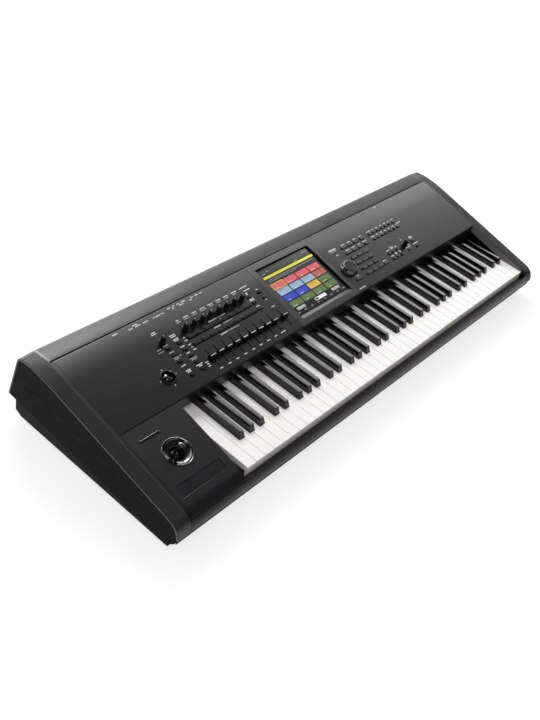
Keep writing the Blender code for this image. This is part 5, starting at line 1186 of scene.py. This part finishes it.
class WORKSTATION_OT_sliders(Operator):
    """Fader caps with a white line, on stems that pass through their slots"""

    bl_idname = "workstation.sliders"
    bl_label = "Slider caps"

    def execute(self, context):
        sizes = settings("controls")
        wide, long, tall = sizes.cap_width / MM, sizes.cap_length / MM, sizes.cap_height / MM
        for number, x in enumerate(SLIDER_XS):
            body = f"mixer_slider_{number + 1}" if number < 9 else "value_slider"
            axes = panel_frame(x, SLIDER_REST)
            across = axes @ SIDE
            side = [(y * MM, z * MM) for y, z in slider_section(long, tall)]
            cap = prism(side, -wide / 2 * MM, wide / 2 * MM, across)
            turn = axes.inverted()
            for vert in cap.verts:
                spot = turn @ vert.co
                lean = max(0.0, spot.z / MM - CAP_FOOT) / (tall - CAP_FOOT)
                spot.x -= (CAP_LEAN if spot.x > 0 else -CAP_LEAN) * MM * lean
                vert.co = axes @ spot
            cap = soften(cap, 0.3 * MM, 2, radians(25))
            stem = block((-0.7, -2.5, -8), (0.7, 2.5, 1), axes)
            add_piece(f"{body}_cap", together([cap, stem]), "knob_abs", body, [body])
            reach = wide / 2 - 1.5
            line = block((-reach, -CAP_LINE, tall - 1.0), (reach, CAP_LINE, tall - 0.84), axes)
            add_piece(f"{body}_line", soften(line, 0.05 * MM, 1), "printed_ink", body)
        return {"FINISHED"}


class WORKSTATION_OT_dial(Operator):
    """Value dial with finger scallops round its rim"""

    bl_idname = "workstation.dial"
    bl_label = "Value dial"

    def execute(self, context):
        sizes = settings("controls")
        radius, top, tall = sizes.dial_radius / MM, sizes.dial_top / MM, sizes.dial_height / MM

        def scallop(reach, height, angle):
            if height < SCALLOP_FOOT or reach < top - 0.8:
                return reach
            return reach - SCALLOP_DEPTH * max(0.0, cos(SCALLOPS * angle)) ** SCALLOP_POWER
        profile = [(3, -8), (3, 0.3), (radius, 0.3), (radius, 1.2), (radius - 0.4, 1.8), (top + 0.9, tall - 1.6),
                   (top + 0.5, tall - 0.6), (top, tall - 0.1), (top - 0.7, tall), (top - 1.1, tall - 0.2),
                   (top - 1.3, tall - 0.7), (1, tall - 0.8)]
        face = [(1, tall - 0.9), (top - 1.4, tall - 0.9), (top - 1.4, tall - 0.45), (top - 1.7, tall - 0.3),
                (8, tall - 0.4), (1, tall - 0.45)]
        axes = panel_frame(*DIAL)
        add_piece("value_dial_wheel", turned(profile, 264, axes, grip=scallop), "polished_abs", "value_dial",
                  ["value_dial"])
        add_piece("value_dial_face", turned(face, 96, axes), "switch_abs", "value_dial")
        return {"FINISHED"}


class WORKSTATION_OT_buttons(Operator):
    """Panel buttons, each a cap of its own on the carrier that its set moves with"""

    bl_idname = "workstation.buttons"
    bl_label = "Buttons"

    def execute(self, context):
        edge = settings("controls").button_edge
        for body, buttons, material in (("left_panel_buttons", left_buttons(), "switch_abs"),
                                        ("select_buttons", right_buttons(), "button_abs"),
                                        ("transport_buttons", transport_buttons(), "button_abs")):
            for number, (x, along, (wide, deep)) in enumerate(buttons):
                side = wide / 2 - (0.35 if wide == LONG[0] else 0)
                cap = block((-side, -deep / 2, -BUTTON_DEPTH), (side, deep / 2, BUTTON_HEIGHT), panel_frame(x, along))
                add_piece(f"{body}_{number + 1:02d}", soften(cap, edge, 3), material, body, [body])
        left, right, deep = SWITCH_SLOT
        middle = (left + right) / 2
        low, high = SWITCH_ROW - deep / 2 + SWITCH_GAP, SWITCH_ROW + deep / 2 - SWITCH_GAP
        for number, (x0, x1) in enumerate(((left, middle), (middle, right))):
            name = f"assign_switch_{number + 1}"
            cap = block((x0 + SWITCH_GAP, low, -BUTTON_DEPTH), (x1 - SWITCH_GAP, high, SWITCH_HEIGHT), slope_frame())
            add_piece(f"{name}_cap", soften(cap, SWITCH_HEIGHT * MM, 4), "polished_abs", name,
                      [name])
        return {"FINISHED"}


def square_ring(wide, deep, height, corner, steps=6):
    """A rectangle with round corners, as points at one height."""
    ring = []
    for turn, (sx, sy) in enumerate(((1, 1), (-1, 1), (-1, -1), (1, -1))):
        for k in range(steps + 1):
            angle = pi / 2 * (turn + k / steps)
            ring.append(Vector((sx * (wide - corner) + corner * cos(angle),
                                sy * (deep - corner) + corner * sin(angle), height)))
    return ring


class WORKSTATION_OT_joystick(Operator):
    """Polished bowl with a square-footed boot and a round-topped stick"""

    bl_idname = "workstation.joystick"
    bl_label = "Joystick"

    def execute(self, context):
        axes = panel_frame(*JOYSTICK)
        add_piece("joystick_dish", turned(JOYSTICK_DISH, 72, axes, closed=True), "polished_abs", "case",
                  ["joystick_bowl"])
        rings = []
        for height, half, corner in JOYSTICK_BOOT:
            narrow = half * BOOT_NARROW
            ring = square_ring(half, narrow if half > corner else half, height, min(corner, narrow))
            rings.append([axes @ (point * MM) for point in ring])
        add_piece("joystick_boot", loft(rings), "polished_abs", "joystick", ["joystick"],
                  smooth=radians(60))
        return {"FINISHED"}


class WORKSTATION_OT_vector_stick(Operator):
    """Small joystick on the panel"""

    bl_idname = "workstation.vector_stick"
    bl_label = "Vector joystick"

    def execute(self, context):
        axes = panel_frame(*VECTOR)
        add_piece("vector_stick_boot", turned(VECTOR_STICK, 40, axes), "polished_abs", "vector_stick",
                  ["vector_stick"])
        add_piece("vector_stick_ring", turned(VECTOR_RING, 72, axes, closed=True), "switch_abs", "case")
        return {"FINISHED"}


def surface_point(x, along, lift):
    """A point over the real panel surface, which rolls over towards the rear."""
    y = PANEL_EDGE_Y + along * MM * cos(PANEL_SLOPE)
    path = top_path()
    for (ya, za), (yb, zb) in zip(path, path[1:]):
        if yb <= y <= ya:
            z = za + (zb - za) * (y - ya) / (yb - ya)
            return (x * MM, y, z + lift)
    raise ValueError(f"no panel surface at {along} mm up the slope")


@cache
def top_path():
    return case_line(before=REAR_GAP_Y, over=BLOCK_NOSE_Z)


BANK_MARKS = [(276 + BANK_PITCH * i, 7) for i in range(6)]
# Where the panel is printed: the place up the slope, then the X and the width of each word
WHITE_WORDS = {
    165.3: [(-441.8, 11), (-396.7, 11), (-314.4, 6.5), (-302.2, 5.5), (-290.7, 5.5), (-277.3, 9), (-254.4, 5.5),
            (-242.2, 6.5), (-231.1, 5.5), (346.6, 9)],
    161: [(-409.6, 9), (-392.7, 12), (-374.4, 12), (-354.9, 2.5), (-344.9, 11), (-332.9, 6.5), (-306.2, 4.5),
          (-285.6, 10), (-261.1, 6.5)],
    134: [(-381, 8), (-321.3, 6.5), (-300.3, 12), (-278.6, 11), (-257, 13), (-236, 13), (-214.5, 12), (-193, 13),
          (-171, 14), (-143.4, 21)],
    130.3: [(-381.4, 12)], 125.6: [(-141, 17)], 119.6: [(-150, 8)], 117.6: [(125, 24)],
    116.6: [(-150, 6), (-121, 5.5)],
    116.4: [(162.6, 12), (184, 12), (205, 8), (226.4, 9), (260, 14), *BANK_MARKS],
    115.4: [(125, 22)], 113.3: [(-353.5, 13)], 109.6: [(-353.5, 12)], 103.6: [(-353.5, 12), (-150, 12)],
    102.6: [(-258.9, 21), (365, 14)], 100.6: [(-353.5, 10), (-150, 13)],
    100.5: [(162.6, 15), (183.4, 13), (204.6, 7), (226.4, 15), (260, 14), *BANK_MARKS, (125, 7)],
    97.8: [(-337.7, 5)], 91.5: [(-337.7, 7)], 88.7: [(-121, 5.5)], 86.8: [(-261.3, 17)],
    84.6: [(-353.5, 10), (-150, 9)], 81.5: [(-338.2, 5.5)],
    68.9: [(-337.6, 7.5), (-259.8, 20), (-353.5, 7), (-121, 10)],
    61: [(321.6, 5)], 57: [(354, 12), (275, 12)], 53.4: [(354, 10), (276, 10), (290, 8), (258, 10)],
    52: [(-381, 10)], 42: [(315, 5), (329, 6)], 40.4: [(-380.6, 10), (273.6, 6.5), (289, 6.5)],
    39.6: [(-353.5, 15)],
    37: [(-380.6, 8), (258, 11), (273.6, 7), (289, 7), (321, 18), (352, 18), (124, 9), (224, 12)],
    36.4: [(-353.5, 7), (-337.8, 7)], 32: [(-338, 5.5)], 27.2: [(-338.6, 5.5)],
    13.1: [(x, 7) for x in SLIDER_XS[:8]] + [(SLIDER_XS[8], 13)], 8.6: [(107.5, 22)]}
BEIGE_WORDS = {
    129.7: [(-321.5, 10), (-301, 15), (-280, 11), (-257, 16), (-236, 11), (-216, 11), (-194.5, 11), (-172, 11)],
    111.6: [(125, 20)], 102.6: [(-234.8, 20)], 101: [(-380, 10)], 99.3: [(-397, 10)], 93.4: [(-397, 13)],
    86.8: [(-233.5, 24)], 84.6: [(-380, 10)], 75.2: [(-337.6, 5.5)], 72.4: [(-380.6, 12)], 69: [(-380.6, 11)],
    68.9: [(-232.9, 26)], 56.2: [(-353.5, 15)], 53: [(-353.5, 13)]}
LIT_LAMPS = [(-369.9, 72, 2.2, 2), (-243.3, 97.6, 2.4, 2), (-200.4, 81.5, 2.4, 2), (321, 67, 2.4, 1.4)]
# Unlit diode lenses, drawn with a dim grey glow that is painted light
GLOWING_UNLIT_LAMPS = [(-366.5, along, 3, 1.8) for along in (72.5, 65.8, 59.3, 52.8, 46.6)]
GLOWING_UNLIT_LAMPS += [(FIRST_SLIDER_X + SLIDER_PITCH * i - 3, row + 4.2, 8, 1.4) for i in range(8)
               for row in (UPPER_ROW, UPPER_ROW - ROW_STEP)]


def words(x, along, wide):
    """A printed line with no words: even dashes over a width, centred on a place."""
    tall = settings("controls").print_height / MM
    count = max(1, round(wide / WORD_DASH))
    step = (wide + WORD_GAP) / count
    return [(x + (k - (count - 1) / 2) * step, along, step - WORD_GAP, tall) for k in range(count)]


class WORKSTATION_OT_printing(Operator):
    """Plain dashes where the panel is printed, and the small lamps"""

    bl_idname = "workstation.printing"
    bl_label = "Printing and lamps"

    def execute(self, context):
        white, beige = ([dash for along, places in inked.items() for x, wide in places
                         for dash in words(x, along, wide)] for inked in (WHITE_WORDS, BEIGE_WORDS))
        for turn in range(4):
            angle = pi / 2 * turn
            white.append((VECTOR[0] + VECTOR_MARKS * cos(angle), VECTOR[1] + VECTOR_MARKS * sin(angle), 1.8, 1.8))
        # The unlit lenses glow grey although no diode behind them is on: painted light
        violet, unlit = lit("Lit violet-white diode", "#cbb6f2", 1.0), lit("Unlit diode lens", "#3f3f42", 1.0)
        for name, marks, lift, material in (("panel_marks", white, 0.05, "printed_ink"),
                                            ("panel_second_marks", beige, 0.05, "faded_ink"),
                                            ("panel_lamps_lit", LIT_LAMPS, 0.06, violet),
                                            ("panel_lamps_dark", GLOWING_UNLIT_LAMPS, 0.06, unlit)):
            add_piece(name, patch(marks, surface_point, lift * MM), material, "case")
        return {"FINISHED"}


# ---------------------------------------------------------------- rear


class WORKSTATION_OT_rear(Operator):
    """Connector panel, its sockets, the power inlet and the rocker switch"""

    bl_idname = "workstation.rear"
    bl_label = "Rear connectors"

    def execute(self, context):
        axes = rear_frame(0)

        def box(x, half, low, high, y=0):
            return block((x - half[0], y - half[1], low), (x + half[0], y + half[1], high), axes)
        low = (CHASSIS_REAR_TOP_Z + TOUCH_GAP - JACK_Z) / MM
        high = (slope_z(REAR_GAP_Y) - REAR_TRIM_SKIRT - TOUCH_GAP - JACK_Z) / MM
        half = (CHEEK_INNER_X - TOUCH_GAP) / MM
        plate = block((-half, -high, -JACK_SHEET / MM), (half, -low, 0), axes)
        holes = [pin(JACK_HOLE, -5, 2, rear_frame(x)) for x in JACK_XS]
        holes += [pin(DIN_HOLE, -5, 2, rear_frame(x), 48) for x in DIN_XS]
        holes += [box(x, DATA_ROOM, -5, 2) for x in DATA_XS]
        holes += [box(INLET_X, INLET_ROOM, -5, 2), box(ROCKER_X, ROCKER_HALF, -5, 2)]
        add_piece("connector_plate", soften(carve(plate, holes), 0.2 * MM, 1), "powder_coat", "case",
                  ["jack_panel"])
        bodies, nuts, sleeves = ([turned(profile, sides, rear_frame(x), closed=True) for x in JACK_XS]
                                 for profile, sides in ((JACK_BODY, 40), (JACK_NUT, 6), (JACK_SLEEVE, 40)))
        nuts = [soften(nut, 0.15 * MM, 1) for nut in nuts]
        add_piece("jack_bodies", together(bodies), "knob_abs", "case", ["rear_socket_board"])
        add_piece("jack_nuts", together(nuts), "nickel", "case")
        add_piece("jack_sleeves", together(sleeves), "nickel", "case")
        shells, pins = [], []
        for x in DIN_XS:
            shells.append(turned(DIN_SHELL, 48, rear_frame(x), closed=True))
            for angle in (-90, -45, 0, 45, 90):
                across, down = DIN_PINS * MM * sin(radians(angle)), -DIN_PINS * MM * cos(radians(angle))
                seat = rear_frame(x) @ Matrix.Translation((across, down, 0))
                pins.append(turned(DIN_PIN, 16, seat, closed=True))
        for x in DATA_XS:
            shells.append(carve(box(x, DATA_HALF, -12, 0.3), [box(x, (6, 2.3), -8, 1)]))
            pins.append(box(x, (5, 0.85), -8, -1.2, 0.65))
        mouth = soften(box(INLET_X, (13.5, 10), -15, 1), 2.5 * MM, 3, radians(60),
                       lambda edge: abs((edge.verts[0].co - edge.verts[1].co).y) > 5 * MM)
        shells.append(carve(box(INLET_X, INLET_HALF, -18, 0.3), [mouth]))
        for dx, dy in ((-7, 2), (7, 2), (0, -3)):
            pins.append(soften(box(INLET_X + dx, (1, 3), -15, -3, dy), 0.4 * MM, 2))
        shells.append(block((SOCKET_BOARD_ENDS[0], -8.4, -12.8), (SOCKET_BOARD_ENDS[1], 8.4, -11.2), axes))
        add_piece("socket_shells", together(shells), "knob_abs", "case")
        add_piece("socket_contacts", together(pins), "nickel", "case")
        screws = [turned(PLATE_SCREW, 20, rear_frame(x, rise)) for x in PLATE_SCREW_XS
                  for rise in (PLATE_SCREW_RISE, -PLATE_SCREW_RISE)]
        add_piece("plate_screws", together(screws), "black_zinc", "case")
        marks = [(x, JACK_Z / MM + 11.5, 7 if k % 2 else 9, 1.2) for k, x in enumerate([*JACK_XS, *DIN_XS, *DATA_XS])]
        marks += [(INLET_X, JACK_Z / MM + 15.5, 12, 1.2)]
        add_piece("plate_marks", patch(marks, lambda x, z, lift: (x * MM, JACK_Y + lift, z * MM), 0.05 * MM),
                  "printed_ink", "case")
        outline = [(ROCKER_RADIUS * cos(radians(a)), ROCKER_RADIUS * sin(radians(a))) for a in range(100, 261, 8)]
        across = ROCKER_RADIUS * sin(ROCKER_LEAN)
        outline += [(across, -ROCKER_RADIUS * cos(ROCKER_LEAN)), (across * 0.55, -ROCKER_RADIUS * 0.35),
                    (across / 2.4, 0)]
        pivot = Matrix.Translation((0, JACK_Y - 1 * MM, JACK_Z))
        rocker = prism([(y * MM, z * MM) for y, z in outline], (ROCKER_X - 7) * MM, (ROCKER_X + 7) * MM, pivot @ SIDE)
        add_piece("power_rocker", soften(rocker, 0.5 * MM, 3), "knob_abs", "power_switch",
                  ["power_switch"])
        return {"FINISHED"}


class WORKSTATION_OT_feet(Operator):
    """Rubber feet, each with a hole through its middle for a sunk screw"""

    bl_idname = "workstation.feet"
    bl_label = "Feet"

    def execute(self, context):
        for row, y in FOOT_YS.items():
            for side, x in FOOT_XS.items():
                name = f"{row}_{side}_foot"
                foot = turned(FOOT, 48, Matrix.Translation((x * MM, y * MM, 0)), closed=True)
                add_piece(f"{name}_rubber", foot, "foot_rubber", "case", [name])
        return {"FINISHED"}


class WORKSTATION_OT_inner_parts(Operator):
    """Finishes for the solids that stay as they are, inside the case"""

    bl_idname = "workstation.inner_parts"
    bl_label = "Inner parts"

    def execute(self, context):
        finishes = {"keybed_frame": finish("zinc_steel"), "control_board": glass_epoxy(), "main_board": glass_epoxy(),
                    "joystick_gimbal": finish("nylon"), "vector_stick_gimbal": finish("nylon")}
        for name, material in finishes.items():
            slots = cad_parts[name].data.materials
            if len(slots):
                for k in range(len(slots)):
                    slots[k] = material
            else:
                slots.append(material)
        return {"FINISHED"}


# ---------------------------------------------------------------- studio


def ways_seen(tree):
    """Whether a ray comes straight from the camera, and whether it comes by a mirror or through glass."""
    path = add_node(tree, "ShaderNodeLightPath").outputs
    mirrored = add_node(tree, "ShaderNodeMath", {0: path["Is Glossy Ray"], 1: path["Is Transmission Ray"]},
                        operation="MAXIMUM")
    return path["Is Camera Ray"], mirrored.outputs[0]


class WORKSTATION_OT_studio(Operator):
    """Plain pale floor, soft studio light and the camera"""

    bl_idname = "workstation.studio"
    bl_label = "Studio"

    def execute(self, context):
        scene = context.scene
        studio = settings("studio")
        scene.view_settings.view_transform = "Standard"
        world = scene.world or bpy.data.worlds.new("Studio")
        scene.world = world
        world.use_nodes = True
        tree = world.node_tree
        tree.nodes.clear()
        straight, mirrored = ways_seen(tree)
        # A pale wall low behind the object and to its right, and a dark room elsewhere
        spot = add_node(tree, "ShaderNodeTexCoord").outputs["Generated"]
        way = add_node(tree, "ShaderNodeVectorMath", {0: spot, 1: WALL_WAY}, operation="DOT_PRODUCT").outputs["Value"]
        tone = add_node(tree, "ShaderNodeMapRange", dict(enumerate((way, *WALL_FADE, *WALL_LIGHT))))
        plain, wall, white = (add_node(tree, "ShaderNodeBackground", {0: (1, 1, 1, 1), 1: strength}).outputs[0]
                              for strength in (studio.sky, tone.outputs[0], 1.0))
        first = add_node(tree, "ShaderNodeMixShader", {0: mirrored, 1: plain, 2: wall})
        second = add_node(tree, "ShaderNodeMixShader", {0: straight, 1: first.outputs[0], 2: white})
        add_node(tree, "ShaderNodeOutputWorld", {0: second.outputs[0]})
        for name, (place, size, roll) in LAMPS.items():
            lamp = bpy.data.lights.new(name, "AREA")
            lamp.shape, lamp.size, lamp.size_y, lamp.energy = "RECTANGLE", *size, getattr(studio, name)
            holder = new_thing(name, lamp)
            holder.location = place
            facing = (LAMP_TARGET - Vector(place)).to_track_quat("-Z", "Y").to_matrix()
            holder.rotation_euler = (facing @ Matrix.Rotation(radians(roll), 3, "Z")).to_euler()
            holder.visible_camera = False
        floor = bmesh.new()
        bmesh.ops.create_grid(floor, x_segments=8, y_segments=8, size=FLOOR_HALF)
        mesh = as_mesh(floor, "studio_floor")
        thing = new_thing("studio_floor", mesh)
        # Painted board: it shows the camera and every mirror a white ground, and keeps the object's shadow
        white = (1.0, 1.0, 1.0, 1.0)
        material, tree, shader = new_finish("Painted studio floor", settings("colours").floor, 0.9,
                                            {"Specular IOR Level": 0.1, "Emission Color": white})[:3]
        shown = add_node(tree, "ShaderNodeMath", dict(enumerate(ways_seen(tree))), operation="MAXIMUM")
        glow = add_node(tree, "ShaderNodeMath", {0: shown.outputs[0], 1: FLOOR_GLOW}, operation="MULTIPLY")
        tree.links.new(glow.outputs[0], shader.inputs["Emission Strength"])
        mesh.materials.append(material)
        camera = bpy.data.cameras.new("camera")
        camera.lens, camera.sensor_width = studio.lens, 36.0
        camera.shift_x, camera.shift_y = CAMERA_SHIFT
        camera.clip_start, camera.clip_end = 0.05, 100
        scene.camera = new_thing("camera", camera)
        scene.camera.matrix_world = Matrix.Translation(CAMERA_PLACE) @ Matrix(CAMERA_AXES).transposed().to_4x4()
        return {"FINISHED"}


OPERATORS = (WORKSTATION_OT_chassis, WORKSTATION_OT_cheeks, WORKSTATION_OT_side_trims, WORKSTATION_OT_rear_trim,
             WORKSTATION_OT_panels, WORKSTATION_OT_display, WORKSTATION_OT_key_block, WORKSTATION_OT_front_rail,
             WORKSTATION_OT_white_keys, WORKSTATION_OT_black_keys, WORKSTATION_OT_knobs, WORKSTATION_OT_sliders,
             WORKSTATION_OT_dial, WORKSTATION_OT_buttons, WORKSTATION_OT_joystick, WORKSTATION_OT_vector_stick,
             WORKSTATION_OT_printing, WORKSTATION_OT_rear, WORKSTATION_OT_feet, WORKSTATION_OT_inner_parts,
             WORKSTATION_OT_studio)
GROUPS = {"case": CaseSizes, "keys": KeySizes, "controls": ControlSizes, "colours": Colours, "studio": Studio}


class WORKSTATION_PT_sidebar(Panel):
    """Lists the sizes, the colours and the steps that build the workstation"""

    bl_label = "Music Workstation"
    bl_space_type = "VIEW_3D"
    bl_region_type = "UI"
    bl_category = "Workstation"

    def draw(self, context):
        for name, group in GROUPS.items():
            box = self.layout.box()
            box.label(text=name.title())
            for prop in group.__annotations__:
                box.prop(settings(name), prop)
        for operator in OPERATORS:
            self.layout.operator(operator.bl_idname)


def register():
    for group in (*GROUPS.values(), *OPERATORS, WORKSTATION_PT_sidebar):
        bpy.utils.register_class(group)
    for name, group in GROUPS.items():
        setattr(bpy.types.Scene, f"workstation_{name}", PointerProperty(type=group))


def unregister():
    for name in GROUPS:
        delattr(bpy.types.Scene, f"workstation_{name}")
    for group in reversed((*GROUPS.values(), *OPERATORS, WORKSTATION_PT_sidebar)):
        bpy.utils.unregister_class(group)


def main():
    register()
    for operator in OPERATORS:
        getattr(bpy.ops.workstation, operator.bl_idname.split(".")[1])()


if __name__ == "__main__":
    main()
